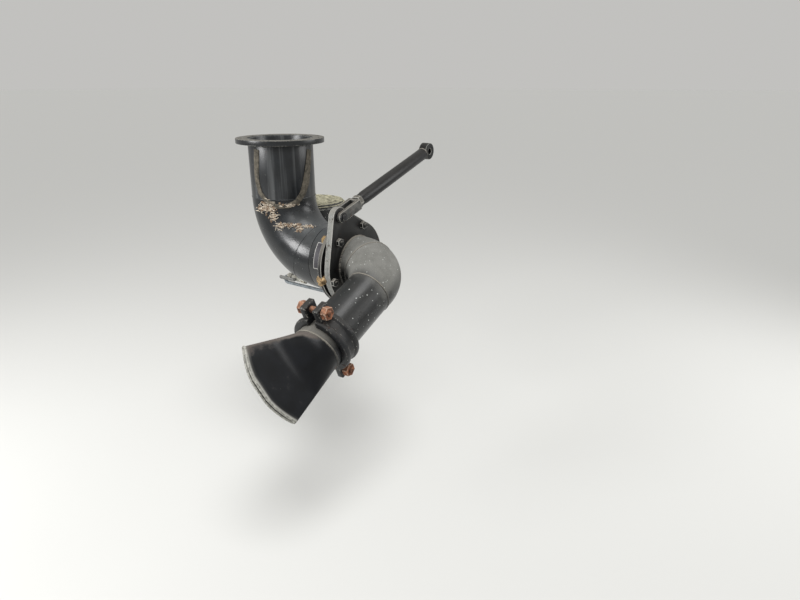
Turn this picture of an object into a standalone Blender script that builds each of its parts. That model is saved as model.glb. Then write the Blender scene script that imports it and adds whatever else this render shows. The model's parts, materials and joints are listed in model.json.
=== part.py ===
"""Side spray head of a water truck, as a Blender assembly of separate solids.

The supply pipe comes down from its top flange, turns through a short elbow and runs
rearwards to a swivel joint. The spray head turns on that joint, held by an adjusting
strut on its lever plate, and the fan nozzle turns in a grooved coupling at the head's end.

Frame: metres, +Z up. The origin is the centre of the top flange's upper face. +X runs
along the truck to its rear, +Y into the truck, so the nozzle sprays out to -Y.
"""

import math

import bmesh
import bpy
from mathutils import Matrix, Vector

# Clearances
GAP = 0.0003                 # between pieces that touch
RUN_GAP = 0.0008             # between pieces that turn on each other

# Supply pipe, six inch
PIPE_RADIUS = 0.08415
PIPE_WALL = 0.0071
LEG_LENGTH = 0.150           # top flange's face to the elbow
SUPPLY_BEND = 0.1524         # centre-line radius of the short elbow
INLET_FLANGE_STEP = 0.03015  # the flange's reach past the pipe
INLET_FLANGE_THICK = 0.0127
INLET_BOLT_STEP = 0.01905    # from the pipe's outside to the bolts
INLET_BOLT_COUNT = 12
INLET_HOLE_RADIUS = 0.0056
LEG_SETBACK = 0.002          # the leg's end below the top flange's face

# Swivel joint on the run
SLEEVE_STEP = 0.00205        # each step is from the radius before it
SLEEVE_LENGTH = 0.064
COLLAR_STEP = 0.0063
COLLAR_THICK = 0.010
RING_THICK = 0.010
PLATE_THICK = 0.016
PLATE_STEP = 0.010           # from the bolts' centres to the plate's rim
SWIVEL_BOLT_COUNT = 6
SWIVEL_BOLT_START = 15.0     # degrees from +Y
SWIVEL_BOLT_RADIUS = 0.005
SWIVEL_BOLT_ROOM = 0.0015    # between the collar and the bolts' shanks

# Lever and adjusting strut, in the plane across the run
LEVER_PIN_Y = -0.061         # from the run's axis
LEVER_PIN_RISE = 0.022       # above the lever plate's disc
LEVER_NOSE_STEP = 0.016
PIN_RADIUS = 0.008
LEVER_PIN_OVERHANG = 0.006
STRUT_EYE_Y = 0.350          # from the run's axis
STRUT_EYE_RISE = 0.119       # above the lever's pin
FORK_BLOCK = 0.0075          # the fork's solid end
FORK_MARGIN = 0.005          # the cheeks' width past the pin, each side
FORK_CHEEK = 0.009
FORK_SLOT_DEPTH = 0.068      # pin to the slot's bottom
STUD_RADIUS = 0.0095
STUD_LENGTH = 0.150
LOCK_NUT_THICK = 0.012
LOCK_NUT_STEP = 0.008
STRUT_WALL = 0.007
STUD_SHOWING = 0.015         # from the fork's end to the tube's near end
STRUT_EYE_RIM = 0.0145
STRUT_EYE_THICK = 0.024
STRUT_EYE_BORE = 0.0085

# Discharge elbow, tapering to four inch
HEAD_RADIUS = 0.0706         # at the lever plate
HEAD_WALL = 0.0060
HEAD_DROP_ANGLE = 22.0       # degrees that the outlet points below level
HEAD_CORNER = 0.343          # X of the outlet's centre line
HEAD_BEND = 0.093

# Grooved coupling that the nozzle turns in
COUPLING_AT = 0.262          # its middle, along the outlet from the run's axis
COUPLING_WIDTH = 0.046
COUPLING_STEP = 0.01635      # from the neck's radius to the halves'
COUPLING_SPLIT = 0.020       # between the halves
PAD_THICK = 0.016
PAD_MARGIN = 0.015           # from the bolts' centres to the pads' ends
PAD_ROOT = 0.001             # from the halves' bore to where the pads start in their wall
PAD_WIDTH = 0.036
PAD_BOLT_STEP = 0.0125       # from the halves' outside to the bolts' centres
PAD_BOLT_RADIUS = 0.0075
PAD_HEX_STEP = 0.006         # from a shank's radius to its hexagon's flats
PAD_HEX_THICK = 0.014
KEY_DEPTH = 0.0022           # how far the keys sit in the pipes' grooves
KEY_WIDTH = 0.008
KEY_AT = 0.017               # from the coupling's middle
END_GAP = 0.0015             # between the two pipe ends in the coupling, each side

# Fan nozzle, four inch neck
NECK_RADIUS = 0.05715
NECK_LENGTH = 0.036          # its end to where the fan starts
NOZZLE_WALL = 0.004
FAN_ARC_ALONG = -0.018       # the arc's centre, from the fan's start
FAN_ARC_ACROSS = -0.015
FAN_ARC_RADIUS = 0.178
FAN_ARC_FROM = -17.0         # degrees from the nozzle's axis
FAN_ARC_TO = 47.0
FAN_HALF_GAP = 0.0125        # half the fan's thickness at the slot
FAN_NECK_SHARE = 0.55        # share of the length over which the cone flattens
FAN_STRAIGHT = 0.004         # round part where the fan is welded to its neck
FAN_ROLL = 45.0              # degrees that the fan's plane leans from upright
FAN_SECTIONS = 10
SLOT_ROUNDING = 0.35         # 1 makes the fan's section an ellipse, 0 a rectangle

# Pressure can behind the elbow
CAN_RADIUS = 0.100
CAN_ROOM = 0.01424           # between the can and the supply leg
CAN_TURN = 110.353           # degrees from +X to the can
CAN_TOP = 0.102              # above the run's axis
CAN_HEIGHT = 0.150
CAN_LID_STEP = 0.006
GUSSET_THICK = 0.010
GUSSET_TOP = 0.080           # above the run's axis
GUSSET_HEIGHT = 0.090

# Drain cock under the elbow
DRAIN_X = 0.030
DRAIN_BOSS_RADIUS = 0.012
DRAIN_BOSS_LENGTH = 0.01828  # from the elbow's underside
DRAIN_NECK_RADIUS = 0.0085
DRAIN_COCK_STEP = 0.0123     # from the boss's end down to the cock's axis
DRAIN_COCK_LENGTH = 0.066
DRAIN_COCK_RADIUS = 0.009
DRAIN_END_STEP = 0.0025      # the cock's ends are this much larger in radius
DRAIN_END_LENGTH = 0.014
DRAIN_STEM_RADIUS = 0.0035
DRAIN_STEM_LENGTH = 0.007
DRAIN_LEVER = (0.060, 0.003, 0.010)
DRAIN_LEVER_SHIFT = 0.024    # the lever's middle from its stem
DRAIN_TUBE_RADIUS = 0.0045
DRAIN_TUBE_WALL = 0.001
DRAIN_TUBE_BEND = 0.0095
DRAIN_TUBE_END = 0.128       # X where the tube ends

# Hexagon fasteners
HEX_STEP = 0.0045            # from a shank's radius to its hexagon's flats
HEX_THICK = 0.009
BOLT_END = 0.004             # shank that shows past the hexagon

# Roundness
PIPE_SIDES = 32
BEND_STEPS = 10
BEND_STRAIGHT = 0.006        # straight run at each end of a bend

INLET_FLANGE_RADIUS = PIPE_RADIUS + INLET_FLANGE_STEP
INLET_BOLT_CIRCLE = PIPE_RADIUS + INLET_BOLT_STEP
SLEEVE_RADIUS = PIPE_RADIUS + SLEEVE_STEP
COLLAR_RADIUS = SLEEVE_RADIUS + COLLAR_STEP
SWIVEL_BOLT_CIRCLE = COLLAR_RADIUS + SWIVEL_BOLT_RADIUS + SWIVEL_BOLT_ROOM
PLATE_RADIUS = SWIVEL_BOLT_CIRCLE + PLATE_STEP
HEX_RADIUS = SWIVEL_BOLT_RADIUS + HEX_STEP
LEVER_PIN_Z = PLATE_RADIUS + LEVER_PIN_RISE
LEVER_NOSE_RADIUS = PIN_RADIUS + LEVER_NOSE_STEP
STRUT_EYE_Z = LEVER_PIN_Z + STRUT_EYE_RISE
FORK_WIDTH = 2 * (PIN_RADIUS + FORK_MARGIN)
FORK_LENGTH = FORK_SLOT_DEPTH + FORK_BLOCK
STRUT_START = FORK_LENGTH + STUD_SHOWING
STRUT_RADIUS = STUD_RADIUS + STRUT_WALL
LOCK_NUT_RADIUS = STUD_RADIUS + LOCK_NUT_STEP
STRUT_EYE_RADIUS = STRUT_EYE_BORE + STRUT_EYE_RIM
COUPLING_RADIUS = NECK_RADIUS + COUPLING_STEP
PAD_BOLT_CIRCLE = COUPLING_RADIUS + PAD_BOLT_STEP
PAD_REACH = PAD_BOLT_CIRCLE + PAD_MARGIN
PAD_HEX_RADIUS = PAD_BOLT_RADIUS + PAD_HEX_STEP
CAN_REACH = PIPE_RADIUS + CAN_RADIUS + CAN_ROOM
CAN_X = CAN_REACH * math.cos(math.radians(CAN_TURN))
CAN_Y = CAN_REACH * math.sin(math.radians(CAN_TURN))
ELBOW_DROP = math.sqrt((SUPPLY_BEND + PIPE_RADIUS) ** 2 - (SUPPLY_BEND - DRAIN_X) ** 2) - SUPPLY_BEND
DRAIN_BOSS_DROP = ELBOW_DROP + DRAIN_BOSS_LENGTH
DRAIN_COCK_DROP = DRAIN_BOSS_DROP + DRAIN_COCK_STEP

RUN_Z = -(LEG_LENGTH + SUPPLY_BEND)
SWIVEL_START = SUPPLY_BEND
COLLAR_START = SWIVEL_START + SLEEVE_LENGTH
PLATE_START = COLLAR_START + COLLAR_THICK + RUN_GAP
PLATE_END = PLATE_START + PLATE_THICK
RING_START = COLLAR_START - RUN_GAP - RING_THICK
STRUT_X = PLATE_START + PLATE_THICK / 2

OUTLET = Vector((0, -math.cos(math.radians(HEAD_DROP_ANGLE)), -math.sin(math.radians(HEAD_DROP_ANGLE))))
HEAD_ORIGIN = Vector((HEAD_CORNER, 0, RUN_Z))
LEVER_PIN = Vector((STRUT_X, LEVER_PIN_Y, RUN_Z + LEVER_PIN_Z))
STRUT_EYE = Vector((STRUT_X, STRUT_EYE_Y, RUN_Z + STRUT_EYE_Z))

FINISHES = {
    "pipe black": ((0.020, 0.023, 0.028), 0.30, 0.0),
    "dusty paint": ((0.120, 0.115, 0.105), 0.70, 0.0),
    "worn steel": ((0.300, 0.290, 0.270), 0.50, 0.8),
    "rusty steel": ((0.360, 0.150, 0.060), 0.85, 0.2),
    "nozzle black": ((0.015, 0.017, 0.020), 0.45, 0.0),
    "strut black": ((0.025, 0.026, 0.028), 0.50, 0.0),
}


def clear_scene():
    """Remove the objects that the file starts with."""
    for old in list(bpy.data.objects):
        bpy.data.objects.remove(old, do_unlink=True)


def new_collection(name):
    """Return a new collection linked to the scene."""
    collection = bpy.data.collections.new(name)
    bpy.context.scene.collection.children.link(collection)
    return collection


def finish(name):
    """Return the Principled material of that name, made once."""
    found = bpy.data.materials.get(name)
    if found:
        return found
    colour, roughness, metallic = FINISHES[name]
    material = bpy.data.materials.new(name)
    material.use_nodes = True
    shader = material.node_tree.nodes["Principled BSDF"]
    shader.inputs["Base Color"].default_value = (*colour, 1.0)
    shader.inputs["Roughness"].default_value = roughness
    shader.inputs["Metallic"].default_value = metallic
    return material


def axis_frame(origin, along, up=Vector((0, 0, 1))):
    """Return a matrix at origin whose local Z runs along, with local Y towards up."""
    z_axis = Vector(along).normalized()
    x_axis = Vector(up).cross(z_axis).normalized()
    y_axis = z_axis.cross(x_axis)
    turn = Matrix((x_axis, y_axis, z_axis)).transposed()
    return Matrix.Translation(Vector(origin)) @ turn.to_4x4()


def add_mesh_object(name, mesh, collection, matrix, material):
    """Link a mesh as a named object with its own material."""
    part = bpy.data.objects.new(name, mesh)
    part.matrix_world = matrix
    collection.objects.link(part)
    if material:
        mesh.materials.clear()
        mesh.materials.append(finish(material).copy())
        mesh.materials[0].name = name + " " + material
    return part


def smooth(part, angle=35.0):
    """Shade a part smooth apart from its sharp edges."""
    part.data.shade_smooth()
    part.data.set_sharp_from_angle(angle=math.radians(angle))


def curve_mesh(curve):
    """Return the welded mesh of a curve, and remove the curve."""
    holder = bpy.data.objects.new(curve.name, curve)
    bpy.context.scene.collection.objects.link(holder)
    bpy.context.view_layer.update()
    evaluated = holder.evaluated_get(bpy.context.evaluated_depsgraph_get())
    mesh = bpy.data.meshes.new_from_object(evaluated)
    bpy.data.objects.remove(holder, do_unlink=True)
    bpy.data.curves.remove(curve)
    work = bmesh.new()
    work.from_mesh(mesh)
    bmesh.ops.remove_doubles(work, verts=work.verts, dist=0.00001)
    bmesh.ops.recalc_face_normals(work, faces=work.faces)
    work.to_mesh(mesh)
    work.free()
    return mesh


def swept_mesh(name, points, radii, capped, sides=PIPE_SIDES):
    """Return the mesh of a round bar or an open tube skin along points, with a radius at each."""
    curve = bpy.data.curves.new(name, "CURVE")
    curve.dimensions = "3D"
    curve.bevel_depth = 1.0
    curve.bevel_resolution = (sides - 4) // 2
    curve.use_fill_caps = capped
    spline = curve.splines.new("POLY")
    spline.points.add(len(points) - 1)
    for spot, point, radius in zip(spline.points, points, radii):
        spot.co = (*point, 1.0)
        spot.radius = radius
    return curve_mesh(curve)


def add_pipe(name, points, radius, wall, collection, material):
    """Add a hollow pipe, open at both ends, whose outside has one radius or one at each point."""
    radii = radius if isinstance(radius, list) else [radius] * len(points)
    mesh = swept_mesh(name, points, radii, False)
    pipe = add_mesh_object(name, mesh, collection, Matrix(), material)
    shell = pipe.modifiers.new("wall", "SOLIDIFY")
    shell.thickness = wall
    shell.offset = -1.0
    smooth(pipe)
    return pipe


def circle_outline(centre, radius, steps=PIPE_SIDES):
    """Return the points of a circle, anticlockwise."""
    turns = [2 * math.pi * step / steps for step in range(steps)]
    return [(centre[0] + radius * math.cos(turn), centre[1] + radius * math.sin(turn)) for turn in turns]


def hole_outline(centre, radius, steps=PIPE_SIDES):
    """Return the points of a round hole whose flats clear a bar of the given radius."""
    return circle_outline(centre, radius / math.cos(math.pi / steps), steps)


def add_plate(name, outlines, thick, collection, frame, material):
    """Add a flat plate from its outlines, centred on the frame's XY plane."""
    curve = bpy.data.curves.new(name, "CURVE")
    curve.dimensions = "2D"
    curve.fill_mode = "BOTH"
    curve.extrude = thick / 2
    for outline in outlines:
        spline = curve.splines.new("POLY")
        spline.points.add(len(outline) - 1)
        for spot, point in zip(spline.points, outline):
            spot.co = (point[0], point[1], 0.0, 1.0)
        spline.use_cyclic_u = True
    plate = add_mesh_object(name, curve_mesh(curve), collection, frame, material)
    smooth(plate)
    return plate


def add_turned(name, profile, collection, frame, material, steps=PIPE_SIDES):
    """Add a turned part from (radius, height) points that run down its outer side."""
    mesh = bpy.data.meshes.new(name)
    work = bmesh.new()
    corners = [work.verts.new((radius, 0.0, height)) for radius, height in profile]
    closed = profile[0][0] > 0.0
    for first, second in zip(corners, corners[1:] + corners[:1] if closed else corners[1:]):
        work.edges.new((first, second))
    work.to_mesh(mesh)
    work.free()
    part = add_mesh_object(name, mesh, collection, frame, material)
    turn = part.modifiers.new("turn", "SCREW")
    turn.steps = steps
    turn.render_steps = steps
    turn.use_merge_vertices = True
    turn.merge_threshold = 0.00005
    smooth(part)
    return part


def hull_outline(first, first_radius, second, second_radius, steps=14):
    """Return the outline round two circles, as a belt would lie round them."""
    run = Vector(second) - Vector(first)
    heading = math.atan2(run.y, run.x)
    lean = math.acos((first_radius - second_radius) / run.length)
    points = []
    for step in range(2 * steps + 1):
        turn = heading + lean + (2 * math.pi - 2 * lean) * step / (2 * steps)
        points.append((first[0] + first_radius * math.cos(turn), first[1] + first_radius * math.sin(turn)))
    for step in range(steps + 1):
        turn = heading - lean + 2 * lean * step / steps
        points.append((second[0] + second_radius * math.cos(turn), second[1] + second_radius * math.sin(turn)))
    return points


def bend_points(start, along, towards, radius, steps=BEND_STEPS):
    """Return centre-line points of a right-angle bend, with a short straight run at each end."""
    along = Vector(along).normalized()
    towards = Vector(towards).normalized()
    arc = radius - BEND_STRAIGHT
    centre = Vector(start) + along * BEND_STRAIGHT + towards * arc
    points = [Vector(start)]
    for step in range(steps + 1):
        turn = math.pi / 2 * step / steps
        points.append(centre - towards * (arc * math.cos(turn)) + along * (arc * math.sin(turn)))
    points.append(Vector(start) + (along + towards) * radius)
    return points


def cut(part, cutter, operation="DIFFERENCE"):
    """Cut a part with another object, and keep the cutter as a wire guide."""
    boolean = part.modifiers.new("cut by " + cutter.name, "BOOLEAN")
    boolean.operation = operation
    boolean.object = cutter
    boolean.solver = "EXACT"
    cutter.hide_render = True
    cutter.display_type = "WIRE"


def add_bolt(name, frame, shank_radius, reach, hexagon, collection, material):
    """Add a bolt whose shank spans reach along local Z, with a (radius, thickness) hexagon at each end."""
    half = reach / 2
    flats, thick = hexagon
    corners = flats / math.cos(math.radians(30))
    shapes = (
        (corners, thick, half + thick / 2, 6),
        (shank_radius, reach + 2 * thick + 2 * BOLT_END, 0.0, 12),
        (corners, thick, -half - thick / 2, 6),
    )
    bolt = None
    for radius, depth, height, sides in shapes:
        mesh = bpy.data.meshes.new(name)
        work = bmesh.new()
        bmesh.ops.create_cone(
            work, cap_ends=True, segments=sides, radius1=radius, radius2=radius, depth=depth,
            matrix=Matrix.Translation((0, 0, height)),
        )
        work.to_mesh(mesh)
        work.free()
        piece = add_mesh_object(name, mesh, collection, frame, material)
        if bolt is None:
            bolt = piece
            continue
        union = bolt.modifiers.new("union", "BOOLEAN")
        union.operation = "UNION"
        union.object = piece
        union.solver = "EXACT"
        with bpy.context.temp_override(object=bolt, active_object=bolt, selected_objects=[bolt]):
            bpy.ops.object.modifier_apply(modifier=union.name)
        bpy.data.objects.remove(piece, do_unlink=True)
    return bolt


def supply_leg(parts):
    """Add the straight leg and its top flange."""
    holes = [
        hole_outline(
            (
                INLET_BOLT_CIRCLE * math.cos(2 * math.pi * place / INLET_BOLT_COUNT),
                INLET_BOLT_CIRCLE * math.sin(2 * math.pi * place / INLET_BOLT_COUNT),
            ),
            INLET_HOLE_RADIUS,
            12,
        )
        for place in range(INLET_BOLT_COUNT)
    ]
    outlines = [circle_outline((0, 0), INLET_FLANGE_RADIUS), hole_outline((0, 0), PIPE_RADIUS + GAP)]
    frame = Matrix.Translation((0, 0, -INLET_FLANGE_THICK / 2))
    add_plate("inlet_flange", outlines + holes, INLET_FLANGE_THICK, parts, frame, "dusty paint")
    ends = [Vector((0, 0, -LEG_SETBACK)), Vector((0, 0, -LEG_LENGTH))]
    add_pipe("supply_leg", ends, PIPE_RADIUS, PIPE_WALL, parts, "pipe black")


def supply_elbow(parts):
    """Add the short elbow that turns the supply rearwards."""
    start = Vector((0, 0, -LEG_LENGTH))
    points = bend_points(start, (0, 0, -1), (1, 0, 0), SUPPLY_BEND)
    points[0] -= Vector((0, 0, GAP))
    points[-1] -= Vector((GAP, 0, 0))
    add_pipe("supply_elbow", points, PIPE_RADIUS, PIPE_WALL, parts, "pipe black")


def swivel_sleeve(parts):
    """Add the fixed sleeve whose collar the head turns on."""
    bore = PIPE_RADIUS - PIPE_WALL
    profile = [
        (COLLAR_RADIUS, SLEEVE_LENGTH + COLLAR_THICK),
        (COLLAR_RADIUS, SLEEVE_LENGTH),
        (SLEEVE_RADIUS, SLEEVE_LENGTH),
        (SLEEVE_RADIUS, GAP),
        (bore, GAP),
        (bore, SLEEVE_LENGTH + COLLAR_THICK),
    ]
    frame = axis_frame((SWIVEL_START, 0, RUN_Z), (1, 0, 0))
    add_turned("swivel_sleeve", profile, parts, frame, "pipe black")


def lever_frame(x):
    """Return a frame across the run whose local X is +Y and local Y is +Z."""
    turn = Matrix(((0, 0, 1), (1, 0, 0), (0, 1, 0)))
    return Matrix.Translation((x, 0, RUN_Z)) @ turn.to_4x4()


def swivel_bolt_places():
    """Return where the swivel's bolts pass, in the plane across the run."""
    places = []
    for place in range(SWIVEL_BOLT_COUNT):
        turn = math.radians(SWIVEL_BOLT_START + 360.0 * place / SWIVEL_BOLT_COUNT)
        places.append((SWIVEL_BOLT_CIRCLE * math.cos(turn), SWIVEL_BOLT_CIRCLE * math.sin(turn)))
    return places


def lever_plate(parts):
    """Add the lever plate, the retaining ring and the bolts that clamp them round the collar."""
    holes = [hole_outline(place, SWIVEL_BOLT_RADIUS + GAP, 12) for place in swivel_bolt_places()]
    pin = (LEVER_PIN_Y, LEVER_PIN_Z)
    body = hull_outline((0, 0), PLATE_RADIUS, pin, LEVER_NOSE_RADIUS)
    bore = hole_outline((0, 0), HEAD_RADIUS + GAP)
    outlines = [body, bore, hole_outline(pin, PIN_RADIUS + GAP, 16)] + holes
    frame = lever_frame(PLATE_START + PLATE_THICK / 2)
    add_plate("lever_plate", outlines, PLATE_THICK, parts, frame, "dusty paint")
    spacer = COLLAR_THICK + 2 * RUN_GAP
    outlines = [circle_outline((0, 0), PLATE_RADIUS), hole_outline((0, 0), SLEEVE_RADIUS + RUN_GAP)] + holes
    add_plate("retaining_ring", outlines, RING_THICK, parts, lever_frame(RING_START + RING_THICK / 2), "dusty paint")
    reach = RING_THICK + spacer + PLATE_THICK + 2 * GAP
    middle = (RING_START + PLATE_END) / 2
    hexagon = (HEX_RADIUS, HEX_THICK)
    for index, place in enumerate(swivel_bolt_places(), start=1):
        frame = axis_frame((middle, place[0], RUN_Z + place[1]), (1, 0, 0))
        add_bolt(f"swivel_bolt_{index}", frame, SWIVEL_BOLT_RADIUS, reach, hexagon, parts, "rusty steel")


def discharge_elbow(parts, cutters):
    """Add the tapering elbow that turns the water outwards, grooved for the coupling."""
    start = Vector((HEAD_CORNER - HEAD_BEND, 0, RUN_Z))
    bend = bend_points(start, (1, 0, 0), OUTLET, HEAD_BEND)
    taper = []
    for index in range(len(bend)):
        share = index / (len(bend) - 1)
        taper.append(HEAD_RADIUS + (NECK_RADIUS - HEAD_RADIUS) * share * share)
    points = [Vector((PLATE_START, 0, RUN_Z))] + bend + [HEAD_ORIGIN + OUTLET * (COUPLING_AT - END_GAP)]
    radii = [HEAD_RADIUS] + taper + [NECK_RADIUS]
    elbow = add_pipe("discharge_elbow", points, radii, HEAD_WALL, parts, "dusty paint")
    cut(elbow, groove_cutter("outlet_groove", COUPLING_AT - KEY_AT, cutters))


def outlet_frame(distance):
    """Return a frame on the outlet's centre line, local Z along the flow, X along +X, Y upwards."""
    return axis_frame(HEAD_ORIGIN + OUTLET * distance, OUTLET)


def coupling_profile():
    """Return the coupling's section, whose two keys sit in the pipes' grooves."""
    half = COUPLING_WIDTH / 2
    flats = math.cos(math.pi / PIPE_SIDES)
    room = (NECK_RADIUS + RUN_GAP) / flats
    key = (NECK_RADIUS - KEY_DEPTH + GAP) / flats
    profile = [(COUPLING_RADIUS, half), (COUPLING_RADIUS, -half)]
    for at in (-KEY_AT, KEY_AT):
        start = at - KEY_WIDTH / 2
        end = at + KEY_WIDTH / 2
        profile += [(room, start), (key, start), (key, end), (room, end)]
    profile.insert(2, (room, -half))
    profile.append((room, half))
    return profile


def groove_cutter(name, distance, collection):
    """Add the ring that cuts a pipe's groove for one of the coupling's keys."""
    deep = NECK_RADIUS - KEY_DEPTH
    half = KEY_WIDTH / 2 + GAP
    wide = NECK_RADIUS + KEY_DEPTH
    profile = [(wide, half), (wide, -half), (deep, -half), (deep, half)]
    return add_turned(name, profile, collection, outlet_frame(distance), None)


def coupling(parts, cutters):
    """Add the two halves of the grooved coupling and the bolts that draw them together."""
    frame = outlet_frame(COUPLING_AT)
    root = NECK_RADIUS + RUN_GAP + PAD_ROOT
    hexagon = (PAD_HEX_RADIUS, PAD_HEX_THICK)
    for label, side in (("front", -1), ("rear", 1)):
        half = add_turned("coupling_" + label, coupling_profile(), parts, frame, "dusty paint")
        for end in (-1, 1):
            centre = (side * (COUPLING_SPLIT + PAD_THICK) / 2, end * (PAD_REACH + root) / 2, 0.0)
            pad = add_box(
                f"pad_{label}_{end}", (PAD_THICK, PAD_REACH - root, PAD_WIDTH),
                frame @ Matrix.Translation(centre), cutters, None,
            )
            cut(half, pad, "UNION")
        reach = COUPLING_RADIUS * 2
        away = Matrix.Translation((-side * (reach - COUPLING_SPLIT / 2), 0.0, 0.0))
        opposite = add_box(f"half_cutter_{label}", (reach * 2, reach * 2, reach), frame @ away, cutters, None)
        cut(half, opposite)
        for end in (-1, 1):
            drill = frame @ Matrix.Translation((-reach, end * PAD_BOLT_CIRCLE, 0.0)) @ Matrix.Rotation(
                math.pi / 2, 4, "Y")
            hole = add_rod(
                f"pad_drill_{label}_{end}", drill, (PAD_BOLT_RADIUS + GAP) / math.cos(math.pi / 16), 2 * reach,
                cutters, None,
            )
            cut(half, hole)
    for label, end in (("lower", -1), ("upper", 1)):
        across = frame @ Matrix.Translation((0.0, end * PAD_BOLT_CIRCLE, 0.0)) @ Matrix.Rotation(math.pi / 2, 4, "Y")
        span = COUPLING_SPLIT + 2 * PAD_THICK + 2 * GAP
        add_bolt("coupling_bolt_" + label, across, PAD_BOLT_RADIUS, span, hexagon, parts, "rusty steel")


def nozzle_neck(parts, cutters):
    """Add the short grooved pipe that the nozzle turns on."""
    ends = [COUPLING_AT + END_GAP, COUPLING_AT + END_GAP + NECK_LENGTH]
    points = [HEAD_ORIGIN + OUTLET * along for along in ends]
    neck = add_pipe("nozzle_neck", points, NECK_RADIUS, NOZZLE_WALL, parts, "dusty paint")
    cut(neck, groove_cutter("neck_groove", COUPLING_AT + KEY_AT, cutters))


def slot_share(turn):
    """Return (share across, share of thickness) round the flat slot for an angle."""
    across = math.copysign(abs(math.cos(turn)) ** SLOT_ROUNDING, math.cos(turn))
    thick = math.copysign(abs(math.sin(turn)) ** SLOT_ROUNDING, math.sin(turn))
    return across, thick


def fan_point(turn, share, flat):
    """Return a point of the fan: turn goes round it, share along it, flat is how flat it is there."""
    across, thick = slot_share(turn)
    middle = math.radians((FAN_ARC_TO + FAN_ARC_FROM) / 2)
    swing = middle + math.radians((FAN_ARC_TO - FAN_ARC_FROM) / 2) * across
    end_across = FAN_ARC_ACROSS + FAN_ARC_RADIUS * math.sin(swing)
    end_along = FAN_ARC_ALONG + FAN_ARC_RADIUS * math.cos(swing)
    return Vector((
        NECK_RADIUS * math.cos(turn) * (1 - share) + end_across * share,
        NECK_RADIUS * math.sin(turn) * (1 - flat) + FAN_HALF_GAP * thick * flat,
        FAN_STRAIGHT + (end_along - FAN_STRAIGHT) * share,
    ))


def fan_nozzle(parts):
    """Add the fishtail shell that spreads the water from the round neck to an arc."""
    mesh = bpy.data.meshes.new("fan_nozzle")
    work = bmesh.new()
    rings = []
    for section in range(-1, FAN_SECTIONS + 1):
        share = max(0, section) / FAN_SECTIONS
        flat = min(1.0, share / FAN_NECK_SHARE)
        flat = flat * flat * (3 - 2 * flat)
        ring = []
        for side in range(PIPE_SIDES):
            spot = fan_point(2 * math.pi * (side + 0.5) / PIPE_SIDES, share, flat)
            if section < 0:
                spot.z = 0.0
            ring.append(work.verts.new(spot))
        rings.append(ring)
    for ring, following in zip(rings, rings[1:]):
        for side in range(PIPE_SIDES):
            after = (side + 1) % PIPE_SIDES
            work.faces.new((ring[side], ring[after], following[after], following[side]))
    work.to_mesh(mesh)
    work.free()
    start = outlet_frame(COUPLING_AT + END_GAP + NECK_LENGTH + GAP)
    frame = start @ Matrix.Rotation(math.radians(90.0 + FAN_ROLL), 4, "Z")
    fan = add_mesh_object("fan_nozzle", mesh, parts, frame, "nozzle black")
    shell = fan.modifiers.new("wall", "SOLIDIFY")
    shell.thickness = NOZZLE_WALL
    shell.offset = -1.0
    smooth(fan)


def add_rod(name, frame, radius, length, collection, material, sides=16):
    """Add a solid round or many-sided bar that starts at the frame and runs along its local Z."""
    mesh = bpy.data.meshes.new(name)
    work = bmesh.new()
    bmesh.ops.create_cone(
        work, cap_ends=True, segments=sides, radius1=radius, radius2=radius, depth=length,
        matrix=Matrix.Translation((0, 0, length / 2)),
    )
    work.to_mesh(mesh)
    work.free()
    rod = add_mesh_object(name, mesh, collection, frame, material)
    smooth(rod)
    return rod


def add_box(name, size, frame, collection, material):
    """Add a box centred on its frame."""
    mesh = bpy.data.meshes.new(name)
    work = bmesh.new()
    bmesh.ops.create_cube(work, size=1.0, matrix=Matrix.Diagonal((*size, 1.0)))
    work.to_mesh(mesh)
    work.free()
    return add_mesh_object(name, mesh, collection, frame, material)


def strut_frame(distance):
    """Return a frame on the strut's centre line, local Z from the pin to the eye, local X along +X."""
    along = (STRUT_EYE - LEVER_PIN).normalized()
    return axis_frame(LEVER_PIN + along * distance, along, along.cross(Vector((1, 0, 0))))


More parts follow.
